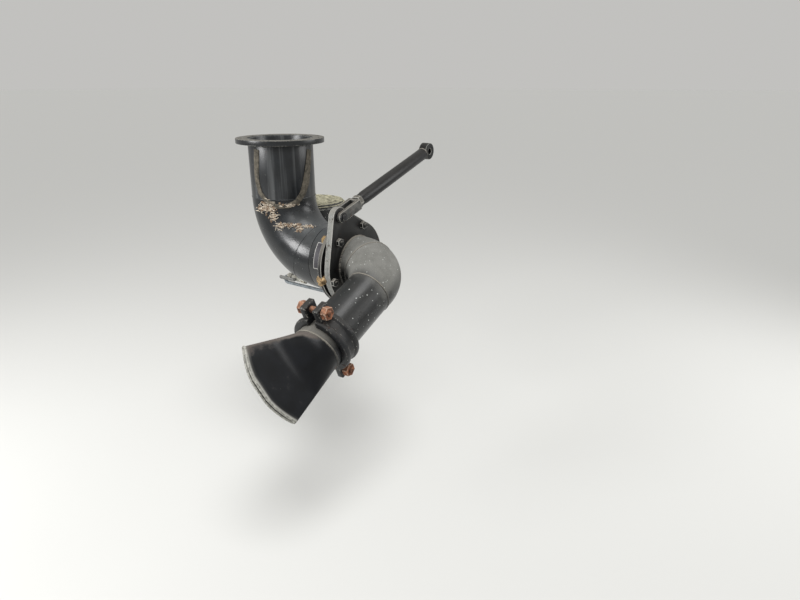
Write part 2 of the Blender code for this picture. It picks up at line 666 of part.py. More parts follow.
def strut(parts, cutters):
    """Add the adjusting strut: fork, pin, threaded stud, lock nut, tube and eye."""
    slot_height = PLATE_THICK + 2 * RUN_GAP
    fork_height = slot_height + 2 * FORK_CHEEK
    along = (STRUT_EYE - LEVER_PIN).normalized()
    lean = math.atan2(along.z, along.y)
    turned = Matrix.Rotation(lean, 4, "Z")
    flat = lever_frame(STRUT_X) @ Matrix.Translation((LEVER_PIN_Y, LEVER_PIN_Z, 0)) @ turned
    half = FORK_WIDTH / 2
    body = circle_outline((0, 0), half, PIPE_SIDES)
    body = [point for point in body if point[0] < 0.0001] + [(FORK_LENGTH, -half), (FORK_LENGTH, half)]
    outlines = [body, hole_outline((0, 0), PIN_RADIUS + GAP, 16)]
    fork = add_plate("strut_fork", outlines, fork_height, parts, flat, "worn steel")
    slot = add_box("fork_slot_cutter", (FORK_SLOT_DEPTH * 2, FORK_WIDTH * 2, slot_height), flat, cutters, None)
    cut(fork, slot)
    pin_frame = flat @ Matrix.Translation((0, 0, -fork_height / 2 - LEVER_PIN_OVERHANG))
    add_rod("lever_pin", pin_frame, PIN_RADIUS, fork_height + 2 * LEVER_PIN_OVERHANG, parts, "rusty steel")
    add_rod("strut_stud", strut_frame(FORK_LENGTH + GAP), STUD_RADIUS, STUD_LENGTH, parts, "worn steel")
    nut_frame = strut_frame(STRUT_START - GAP - LOCK_NUT_THICK)
    bore = (STUD_RADIUS + GAP) / math.cos(math.pi / 6)
    profile = [
        (LOCK_NUT_RADIUS, LOCK_NUT_THICK),
        (LOCK_NUT_RADIUS, 0.0),
        (bore, 0.0),
        (bore, LOCK_NUT_THICK),
    ]
    add_turned("lock_nut", profile, parts, nut_frame, "worn steel", 6)
    length = (STRUT_EYE - LEVER_PIN).length
    tube_end = length - STRUT_EYE_RADIUS - GAP
    tube = [strut_frame(STRUT_START).translation, strut_frame(tube_end).translation]
    bore = (STUD_RADIUS + GAP) / math.cos(math.pi / PIPE_SIDES)
    add_pipe("strut_tube", tube, STRUT_RADIUS, STRUT_RADIUS - bore, parts, "strut black")
    eye_frame = lever_frame(STRUT_X) @ Matrix.Translation((STRUT_EYE_Y, STRUT_EYE_Z, 0)) @ turned
    outlines = [circle_outline((0, 0), STRUT_EYE_RADIUS), hole_outline((0, 0), STRUT_EYE_BORE, 16)]
    add_plate("strut_eye", outlines, STRUT_EYE_THICK, parts, eye_frame, "strut black")


def elbow_room(cutters):
    """Add the cutter that clears the supply elbow, for what is fitted to its outside."""
    start = Vector((0, 0, -LEG_LENGTH))
    points = bend_points(start, (0, 0, -1), (1, 0, 0), SUPPLY_BEND)
    room = swept_mesh("elbow_cutter", points, [PIPE_RADIUS + GAP] * len(points), True)
    return add_mesh_object("elbow_cutter", room, cutters, Matrix(), None)


def drain_cock(parts, cutters, room):
    """Add the drain cock under the elbow: its boss, body, lever handle and tube."""
    down = (0, 0, -1)
    side = (0, 1, 0)
    boss_frame = axis_frame((DRAIN_X, 0, RUN_Z), down, side)
    boss = add_rod("drain_boss", boss_frame, DRAIN_BOSS_RADIUS, DRAIN_BOSS_DROP, parts, "dusty paint")
    cut(boss, room)
    height = RUN_Z - DRAIN_COCK_DROP
    end = DRAIN_COCK_RADIUS + DRAIN_END_STEP
    inner = DRAIN_COCK_LENGTH - DRAIN_END_LENGTH
    profile = [
        (0.0, DRAIN_COCK_LENGTH), (end, DRAIN_COCK_LENGTH), (end, inner), (DRAIN_COCK_RADIUS, inner),
        (DRAIN_COCK_RADIUS, DRAIN_END_LENGTH), (end, DRAIN_END_LENGTH), (end, 0.0), (0.0, 0.0),
    ]
    start = DRAIN_X - DRAIN_COCK_LENGTH / 2
    cock = add_turned("drain_cock", profile, parts, axis_frame((start, 0, height), (1, 0, 0)), "worn steel", 12)
    neck_top = RUN_Z - DRAIN_BOSS_DROP - GAP
    neck_frame = axis_frame((DRAIN_X, 0, neck_top), down, side)
    neck = add_rod("drain_neck", neck_frame, DRAIN_NECK_RADIUS, neck_top - height, cutters, None, 6)
    cut(cock, neck, "UNION")
    stem_frame = axis_frame((DRAIN_X, -DRAIN_COCK_RADIUS - GAP, height), (0, -1, 0))
    handle_place = (DRAIN_X - DRAIN_LEVER_SHIFT, -DRAIN_COCK_RADIUS - DRAIN_STEM_LENGTH, height)
    lever = add_box("drain_lever", DRAIN_LEVER, Matrix.Translation(handle_place), parts, "rusty steel")
    stem = add_rod("drain_stem", stem_frame, DRAIN_STEM_RADIUS, DRAIN_STEM_LENGTH - GAP, cutters, None, 12)
    cut(lever, stem, "UNION")
    low = height - 2 * DRAIN_TUBE_BEND
    turn_x = start - GAP - DRAIN_TUBE_RADIUS
    points = [Vector((start - GAP, 0, height))]
    for step in range(BEND_STEPS + 1):
        turn = math.pi / 2 + math.pi * step / BEND_STEPS
        points.append(Vector((
            turn_x + DRAIN_TUBE_BEND * math.cos(turn), 0, (height + low) / 2 + DRAIN_TUBE_BEND * math.sin(turn),
        )))
    points.append(Vector((DRAIN_TUBE_END, 0, low)))
    mesh = swept_mesh("drain_tube", points, [DRAIN_TUBE_RADIUS] * len(points), False, 12)
    tube = add_mesh_object("drain_tube", mesh, parts, Matrix(), "worn steel")
    shell = tube.modifiers.new("wall", "SOLIDIFY")
    shell.thickness = DRAIN_TUBE_WALL
    shell.offset = -1.0
    smooth(tube)


def pressure_can(parts, cutters, room):
    """Add the upright can that stands behind the elbow, and the gusset that carries it."""
    place = Matrix.Translation((CAN_X, CAN_Y, RUN_Z + CAN_TOP))
    lid = CAN_RADIUS - CAN_LID_STEP
    outer = [(0.0, 0.0), (lid, 0.0), (lid, -CAN_LID_STEP), (CAN_RADIUS, -CAN_LID_STEP)]
    foot = [(CAN_RADIUS, -CAN_HEIGHT), (0.0, -CAN_HEIGHT)]
    add_turned("pressure_can", outer + foot, parts, place, "pipe black")
    reach = math.hypot(CAN_X, CAN_Y)
    towards = Matrix.Rotation(math.atan2(CAN_Y, CAN_X), 4, "Z")
    middle = Vector((CAN_X / 2, CAN_Y / 2, RUN_Z + GUSSET_TOP - GUSSET_HEIGHT / 2))
    size = (reach, GUSSET_THICK, GUSSET_HEIGHT)
    gusset = add_box("can_gusset", size, Matrix.Translation(middle) @ towards, parts, "pipe black")
    can_room = add_rod(
        "can_cutter", place @ Matrix.Translation((0, 0, -CAN_HEIGHT)), CAN_RADIUS + GAP, CAN_HEIGHT, cutters,
        None, PIPE_SIDES,
    )
    cut(gusset, can_room)
    cut(gusset, room)


def build():
    """Build the whole spray head."""
    clear_scene()
    parts = new_collection("water truck side spray head")
    cutters = new_collection("cutters")
    supply_leg(parts)
    supply_elbow(parts)
    swivel_sleeve(parts)
    lever_plate(parts)
    discharge_elbow(parts, cutters)
    coupling(parts, cutters)
    nozzle_neck(parts, cutters)
    fan_nozzle(parts)
    strut(parts, cutters)
    room = elbow_room(cutters)
    pressure_can(parts, cutters, room)
    drain_cock(parts, cutters, room)


build()
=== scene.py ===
"""Looks of a water truck's side spray head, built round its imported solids.

Each sub-assembly is a class that builds its meshes where the solids are and dresses them.
All lengths are metres. +X runs along the truck to its rear, +Y into the truck and +Z up.
"""

import json
import logging
import math
import random
from dataclasses import dataclass
from enum import Enum
from functools import cached_property
from typing import Any, Callable, Iterable, Sequence

import bmesh
import bpy
from bmesh.types import BMEdge, BMesh, BMVert
from bpy.types import Material, MeshPolygon, Node, NodeSocket, NodeTree, Object
from mathutils import Matrix, Vector, noise
from mathutils.bvhtree import BVHTree


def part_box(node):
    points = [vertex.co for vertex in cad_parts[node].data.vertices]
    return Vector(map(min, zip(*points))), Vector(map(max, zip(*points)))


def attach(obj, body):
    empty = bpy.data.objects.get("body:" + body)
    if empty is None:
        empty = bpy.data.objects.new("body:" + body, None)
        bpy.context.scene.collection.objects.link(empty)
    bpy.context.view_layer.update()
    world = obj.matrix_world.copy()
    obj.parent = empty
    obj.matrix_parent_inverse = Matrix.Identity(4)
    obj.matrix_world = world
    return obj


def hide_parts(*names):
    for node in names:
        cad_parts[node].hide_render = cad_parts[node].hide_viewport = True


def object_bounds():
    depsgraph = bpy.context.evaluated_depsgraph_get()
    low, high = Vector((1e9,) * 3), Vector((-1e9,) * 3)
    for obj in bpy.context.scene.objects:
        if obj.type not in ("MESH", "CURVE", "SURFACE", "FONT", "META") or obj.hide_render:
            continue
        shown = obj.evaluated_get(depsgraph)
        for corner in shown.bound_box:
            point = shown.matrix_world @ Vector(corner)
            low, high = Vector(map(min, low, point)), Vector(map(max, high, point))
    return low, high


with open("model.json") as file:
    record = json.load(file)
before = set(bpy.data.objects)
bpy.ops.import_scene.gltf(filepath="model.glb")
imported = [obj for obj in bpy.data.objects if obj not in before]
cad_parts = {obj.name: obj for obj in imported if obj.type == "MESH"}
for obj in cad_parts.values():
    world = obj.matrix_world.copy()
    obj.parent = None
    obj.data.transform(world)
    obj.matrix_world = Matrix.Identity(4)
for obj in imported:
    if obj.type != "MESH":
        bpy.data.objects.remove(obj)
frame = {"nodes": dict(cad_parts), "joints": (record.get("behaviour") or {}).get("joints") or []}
CAD_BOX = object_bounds()

LOG = logging.getLogger("spray_head")
MM = 0.001
FIT = 0.3 * MM               # the gap that the solids leave between neighbours
WELD_DISTANCE = 0.00001      # points nearer than this are one
SIDES = 96                   # round a pipe
PIPE_ANGLE = 60.0            # a pipe's edges that turn more than this are sharp
SEED = 1907
WEAR = "wear"                # the layer that notes where paint wears off
ALONG, INWARD, UP, DOWN = (1, 0, 0), (0, 1, 0), (0, 0, 1), (0, 0, -1)

# Sockets of Blender's Mix node in its colour form
MIX_FACTOR, MIX_A, MIX_B, MIX_RESULT = 0, 6, 7, 2

Point = tuple[float, float]


class Body(Enum):
    """The bodies of the frame that pieces ride on."""

    SUPPLY = "supply"
    HEAD = "head"
    NOZZLE = "nozzle"
    FORK = "fork"
    STRUT = "strut"


class Slot(Enum):
    """The record's material slots."""

    PIPE_BLACK = "pipe_black"
    DUSTY_PAINT = "dusty_paint"
    WORN_STEEL = "worn_steel"
    RUSTY_STEEL = "rusty_steel"
    NOZZLE_BLACK = "nozzle_black"
    STRUT_BLACK = "strut_black"


def joint(name: str) -> dict:
    """Return the frame's joint of that name."""
    return next(item for item in frame["joints"] if item["name"] == name)


RUN = Vector(joint("head_tilt")["pos_m"])
COUPLING = Vector(joint("nozzle_roll")["pos_m"])
OUTLET = Vector(joint("nozzle_roll")["axis"]).normalized()
LEVER_PIN = Vector(joint("strut_swing")["pos_m"])
STRUT_AXIS = Vector(joint("strut_extend")["axis"]).normalized()


def axis_frame(origin: Iterable[float], along: Iterable[float], up: Iterable[float] = UP) -> Matrix:
    """Return a frame whose local Z runs along a direction.

    Args:
        origin: Where the frame stands.
        along: The direction of its local Z.
        up: The side that its local Y leans to.

    Returns:
        The frame's matrix.
    """
    z_axis = Vector(along).normalized()
    x_axis = Vector(up).cross(z_axis).normalized()
    turn = Matrix((x_axis, z_axis.cross(x_axis), z_axis)).transposed()
    return Matrix.Translation(Vector(origin)) @ turn.to_4x4()


def across_run(x: float) -> Matrix:
    """Return a frame across the run whose local X is +Y, local Y is +Z and local Z is +X."""
    turn = Matrix(((0, 0, 1), (1, 0, 0), (0, 1, 0)))
    return Matrix.Translation((x, 0, RUN.z)) @ turn.to_4x4()


def arc(centre: Point, radius: float, start: float, sweep: float, steps: int) -> list[Point]:
    """Return the points of an arc, with both of its ends.

    Args:
        centre: The arc's centre.
        radius: Its radius.
        start: The angle where it starts.
        sweep: How far it turns.
        steps: How many steps it is cut into.

    Returns:
        One point more than there are steps.
    """
    turns = [start + sweep * step / steps for step in range(steps + 1)]
    return [(centre[0] + radius * math.cos(turn), centre[1] + radius * math.sin(turn)) for turn in turns]


def circle(centre: Point, radius: float, steps: int = SIDES) -> list[Point]:
    """Return the points of a circle."""
    return arc(centre, radius, 0.0, 2 * math.pi, steps)[:-1]


def moved(work: BMesh, place: Matrix) -> BMesh:
    """Move a whole shape into a frame."""
    bmesh.ops.transform(work, matrix=place, verts=work.verts[:])
    return work


def facing_out(work: BMesh, place: Matrix = Matrix()) -> BMesh:
    """Turn a shape's faces out and move it into a frame."""
    bmesh.ops.recalc_face_normals(work, faces=work.faces[:])
    return moved(work, place)


def rims_joined(work: BMesh, place: Matrix = Matrix()) -> BMesh:
    """Bridge a shape's two open rims, turn its faces out and move it into a frame."""
    bmesh.ops.bridge_loops(work, edges=[edge for edge in work.edges if edge.is_boundary])
    return facing_out(work, place)


def wired(work: BMesh, points: Iterable[Sequence[float]], closed: bool) -> None:
    """Join points by edges, and the last to the first where the line is closed.

    Args:
        work: The shape that they go into.
        points: The points in order.
        closed: Whether the line is closed.
    """
    corners = [work.verts.new(point) for point in points]
    for ends in zip(corners, corners[1:] + corners[:1] if closed else corners[1:]):
        work.edges.new(ends)


def turned(work: BMesh, angle: float, steps: int, full: bool) -> None:
    """Sweep a shape's edges round Z, and join the last to the first where the turn is full."""
    bmesh.ops.spin(
        work, geom=work.verts[:] + work.edges[:], cent=(0, 0, 0), axis=UP, dvec=(0, 0, 0),
        angle=angle, steps=steps, use_merge=full, use_duplicate=False,
    )


def spun(profile: Sequence[Point], place: Matrix, sides: int = SIDES, closed: bool = False) -> BMesh:
    """Turn a profile round the place's local Z.

    Args:
        profile: (radius, height) points.
        place: The frame that it is turned in.
        sides: Steps round.
        closed: Whether the last point joins the first, as in a ring.

    Returns:
        The turned shape, with its faces pointing out.
    """
    work = bmesh.new()
    wired(work, [(radius, 0.0, height) for radius, height in profile], closed)
    turned(work, 2 * math.pi, sides, True)
    bmesh.ops.remove_doubles(work, verts=work.verts[:], dist=WELD_DISTANCE)
    return facing_out(work, place)


def rod(radius: float, low: float, high: float, place: Matrix, sides: int) -> BMesh:
    """Return a round rod between two heights in a frame."""
    return spun([(0.0, low), (radius, low), (radius, high), (0.0, high)], place, sides)


def hoop(inner: float, outer: float, low: float, high: float, place: Matrix, sides: int = SIDES) -> BMesh:
    """Return a ring of oblong section between two heights in a frame."""
    return spun([(outer, high), (outer, low), (inner, low), (inner, high)], place, sides, closed=True)


def hexagon(flats: float, thick: float, place: Matrix, rounding: float) -> BMesh:
    """Return a hexagon head.

    Args:
        flats: Half its width across its flats.
        thick: Its thickness, half of it on each side of the place.
        place: The frame that it stands in.
        rounding: How far its edges are rounded.

    Returns:
        The head.
    """
    work = bmesh.new()
    corners = flats / math.cos(math.radians(30))
    bmesh.ops.create_cone(
        work, cap_ends=True, segments=6, radius1=corners, radius2=corners, depth=thick, matrix=place,
    )
    return soften(work, rounding, 2)


def thread(low: float, high: float, turns: int, radius: float, root: float, foot: Point) -> list[Point]:
    """Return the profile of a threaded rod.

    Args:
        low: The height where it starts.
        high: The height where it ends.
        turns: How many crests it has.
        radius: Its radius at the crests.
        root: Its radius at both ends.
        foot: Its radius between the crests, and how far after a turn's start that is.

    Returns:
        (radius, height) points from its axis back to its axis.
    """
    pitch = (high - low) / turns
    profile = [(0.0, low), (root, low)]
    for turn in range(turns):
        start = low + pitch * turn
        profile += [(foot[0], start + foot[1]), (radius, start + pitch / 2)]
    return profile + [(root, high), (0.0, high)]


def grown_ring(work: BMesh, ring: list[BMEdge]) -> tuple[list[BMEdge], list[BMVert]]:
    """Extrude a ring of edges where it is.

    Args:
        work: The shape.
        ring: The edges of the ring.

    Returns:
        The new ring's edges and its vertices.
    """
    grown = bmesh.ops.extrude_edge_only(work, edges=ring)["geom"]
    verts = [item for item in grown if isinstance(item, BMVert)]
    fresh = set(verts)
    return [item for item in grown if isinstance(item, BMEdge) and set(item.verts) <= fresh], verts


def swept(
    places: Sequence[Matrix], radii: Sequence[float], sides: int = SIDES, capped: bool = False,
) -> BMesh:
    """Sweep a circle through frames, with a radius at each.

    Args:
        places: Frames whose local Z runs along the sweep.
        radii: The radius at each frame.
        sides: Steps round.
        capped: Whether both ends are filled.

    Returns:
        The skin.
    """
    work = bmesh.new()
    bmesh.ops.create_circle(work, cap_ends=False, segments=sides, radius=radii[0], matrix=places[0])
    first_ring = ring = work.edges[:]
    for before, after, radius, following in zip(places, places[1:], radii, radii[1:]):
        ring, verts = grown_ring(work, ring)
        step = after @ Matrix.Scale(following / radius, 4) @ before.inverted()
        bmesh.ops.transform(work, matrix=step, verts=verts)
    if capped:
        for rim in (first_ring, ring):
            bmesh.ops.contextual_create(work, geom=rim)
        facing_out(work)
    return work


def pipe(places: Sequence[Matrix], radii: Sequence[float], wall: float, sides: int = SIDES) -> BMesh:
    """Sweep a pipe with a wall, out along its outside and back along its bore.

    Args:
        places: Frames whose local Z runs along the pipe.
        radii: The outside radius at each frame.
        wall: The wall's thickness.
        sides: Steps round.

    Returns:
        The closed shape.
    """
    bores = [radius - wall for radius in reversed(radii)]
    return rims_joined(swept([*places, *reversed(places)], [*radii, *bores], sides))


def plate(outlines: Sequence[Sequence[Point]], thick: float, place: Matrix) -> BMesh:
    """Fill flat outlines, the first round the others, and give them a thickness.

    Args:
        outlines: Closed outlines in the place's XY plane; those inside another are holes.
        thick: The plate's thickness, half of it on each side of the place.
        place: The frame that it lies in.

    Returns:
        The closed shape.
    """
    work = bmesh.new()
    for outline in outlines:
        wired(work, [(x, y, -thick / 2) for x, y in outline], True)
    bmesh.ops.triangle_fill(work, use_beauty=True, use_dissolve=True, edges=work.edges[:])
    grown = bmesh.ops.extrude_face_region(work, geom=work.faces[:])["geom"]
    raised = [item for item in grown if isinstance(item, BMVert)]
    bmesh.ops.translate(work, vec=(0, 0, thick), verts=raised)
    return facing_out(work, place)


def block(size: Sequence[float], place: Matrix) -> BMesh:
    """Make a block of that size, centred on the place.

    Args:
        size: Its three sides.
        place: The frame in its middle.

    Returns:
        The block.
    """
    work = bmesh.new()
    bmesh.ops.create_cube(work, size=1.0, matrix=place @ Matrix.Diagonal((*size, 1.0)))
    return work


def soften(work: BMesh, width: float, segments: int = 3, angle: float = 35.0) -> BMesh:
    """Round the sharp edges of a shape and note on the new faces that paint wears off there.

    Args:
        work: The shape.
        width: How far from the edge the rounding starts.
        segments: Steps across the rounding.
        angle: Edges that turn more than this, in degrees, are rounded.

    Returns:
        The same shape.
    """
    worn = work.loops.layers.float.get(WEAR) or work.loops.layers.float.new(WEAR)
    limit = math.radians(angle)
    sharp = [edge for edge in work.edges if edge.is_manifold and edge.calc_face_angle() > limit]
    made = bmesh.ops.bevel(
        work, geom=sharp, offset=width, offset_type="OFFSET", segments=segments, profile=0.5,
        affect="EDGES", clamp_overlap=True, material=-1,
    )
    for face in made["faces"]:
        for loop in face.loops:
            loop[worn] = 1.0
    return work


def roughened(work: BMesh, depth: float, grain: float, seed: int) -> BMesh:
    """Push a shape's points in and out by noise.

    Args:
        work: The shape.
        depth: The most that a point moves.
        grain: The size of the lumps.
        seed: Which noise.

    Returns:
        The same shape.
    """
    shift = Vector((seed, 2 * seed, 3 * seed))
    work.normal_update()
    for vert in work.verts:
        vert.co += vert.normal * (depth * noise.noise(vert.co / grain + shift))
    return work


def ball(size: float, place: Matrix, squash: Sequence[float], finer: int) -> BMesh:
    """Return a ball of that radius, squashed along its own axes, for a lump of mud.

    Args:
        size: The ball's radius.
        place: The frame in its middle.
        squash: How far it is squashed along each axis of that frame.
        finer: How often its faces are split.

    Returns:
        The ball.
    """
    work = bmesh.new()
    matrix = place @ Matrix.Diagonal((*squash, 1.0))
    bmesh.ops.create_icosphere(work, subdivisions=finer, radius=size, matrix=matrix)
    return work


def mesh_of(work: BMesh, name: str) -> bpy.types.Mesh:
    """Turn a shape into a mesh and free it.

    Args:
        work: The shape.
        name: The mesh's name.

    Returns:
        The mesh.
    """
    mesh = bpy.data.meshes.new(name)
    work.to_mesh(mesh)
    work.free()
    return mesh


def merged(*shapes: BMesh) -> BMesh:
    """Put several shapes into the first one.

    Args:
        shapes: The shapes, all but the first of which are freed.

    Returns:
        The first shape.
    """
    for shape in shapes[1:]:
        mesh = mesh_of(shape, "part")
        shapes[0].from_mesh(mesh)
        bpy.data.meshes.remove(mesh)
    return shapes[0]


def shown(name: str, data: bpy.types.ID, place: Matrix = Matrix()) -> Object:
    """Put an object with that data into the scene.

    Args:
        name: The object's name.
        data: What it shows, such as a mesh or a lamp.
        place: The frame that it stands in.

    Returns:
        The object.
    """
    made = bpy.data.objects.new(name, data)
    made.matrix_world = place
    bpy.context.scene.collection.objects.link(made)
    return made


def linear(colour: str) -> tuple[float, float, float, float]:
    """Turn an sRGB hex value such as #6b6a66 into a linear colour.

    Args:
        colour: The hex value.

    Returns:
        Red, green, blue and an alpha of 1.
    """
    parts = [int(colour[place:place + 2], 16) / 255 for place in (1, 3, 5)]
    flat = [part / 12.92 if part <= 0.04045 else ((part + 0.055) / 1.055) ** 2.4 for part in parts]
    return (*flat, 1.0)


def fill(node: Node, inputs: dict) -> None:
    """Set a node's inputs, by name or place, or link them where the value is a node's output.

    Args:
        node: The node.
        inputs: A value, or another node's output, for each input.
    """
    for name, value in inputs.items():
        if isinstance(value, NodeSocket):
            node.id_data.links.new(value, node.inputs[name])
        else:
            node.inputs[name].default_value = value


def add_node(tree: NodeTree, kind: str, inputs: dict, **settings: Any) -> Node:
    """Add a node with its settings and links.

    Args:
        tree: The node tree.
        kind: Blender's name of the node.
        inputs: What fill() is given.
        settings: The node's own settings.

    Returns:
        The node.
    """
    node = tree.nodes.new(kind)
    for name, value in settings.items():
        setattr(node, name, value)
    fill(node, inputs)
    return node


@dataclass
class Graph:
    """A node tree, with a short way to add each kind of node that the finishes need."""

    tree: NodeTree

    @cached_property
    def space(self) -> Any:
        """The sockets of the texture coordinates."""
        return add_node(self.tree, "ShaderNodeTexCoord", {}).outputs

    def noise(self, size: float, detail: float, roughness: float = 0.6) -> NodeSocket:
        """Return noise in lumps of that size."""
        inputs = {"Vector": self.space["Object"], "Scale": 1 / size, "Detail": detail, "Roughness": roughness}
        return add_node(self.tree, "ShaderNodeTexNoise", inputs).outputs["Fac"]

    def axis(self, vector: NodeSocket, name: str) -> NodeSocket:
        """Return one axis of a vector."""
        return add_node(self.tree, "ShaderNodeSeparateXYZ", {"Vector": vector}).outputs[name]

    def maths(self, operation: str, *values: NodeSocket | float, clamp: bool = False) -> NodeSocket:
        """Return what Blender's operation of that name makes of the values."""
        inputs = dict(enumerate(values))
        return add_node(self.tree, "ShaderNodeMath", inputs, operation=operation, use_clamp=clamp).outputs[0]

    def ranged(
        self, value: NodeSocket, to_low: float, to_high: float, low: float = 0.0, high: float = 1.0,
        course: str = "LINEAR",
    ) -> NodeSocket:
        """Lead a value from one range into another.

        Args:
            value: The value.
            to_low: What low becomes.
            to_high: What high becomes.
            low: Where the value's range starts.
            high: Where it ends.
            course: How it runs between them, as Blender names it.

        Returns:
            The value in its new range.
        """
        inputs = {"Value": value, "From Min": low, "From Max": high, "To Min": to_low, "To Max": to_high}
        return add_node(self.tree, "ShaderNodeMapRange", inputs, interpolation_type=course).outputs["Result"]

    def stepped(self, value: NodeSocket, low: float, high: float) -> NodeSocket:
        """Stretch a value so that low becomes 0 and high becomes 1."""
        return self.ranged(value, 0.0, 1.0, low, high, "SMOOTHSTEP")

    def laid_over(self, under: Any, over: Any, share: NodeSocket) -> NodeSocket:
        """Lay one colour over another by a share."""
        inputs = {MIX_FACTOR: share, MIX_A: under, MIX_B: over}
        return add_node(self.tree, "ShaderNodeMix", inputs, data_type="RGBA").outputs[MIX_RESULT]

    def bump(self, height: NodeSocket, depth: float, strength: float) -> NodeSocket:
        """Return the normal of a surface with that relief."""
        inputs = {"Height": height, "Distance": depth, "Strength": strength}
        return add_node(self.tree, "ShaderNodeBump", inputs).outputs["Normal"]


@dataclass(frozen=True)
class Finish:
    """What a piece is dressed in, named for the real material and how it was made."""

    name: str

    def material(self) -> Material:
        """Build the material.

        Returns:
            The material, made once for each name.
        """
        made = bpy.data.materials.get(self.name)
        if made is None:
            made = bpy.data.materials.new(self.name)
            made.use_nodes = True
            fill(made.node_tree.nodes["Principled BSDF"], self.look(Graph(made.node_tree)))
        return made

    def look(self, graph: Graph) -> dict:
        """Return the shader's inputs, and build the nodes that they need."""
        raise NotImplementedError


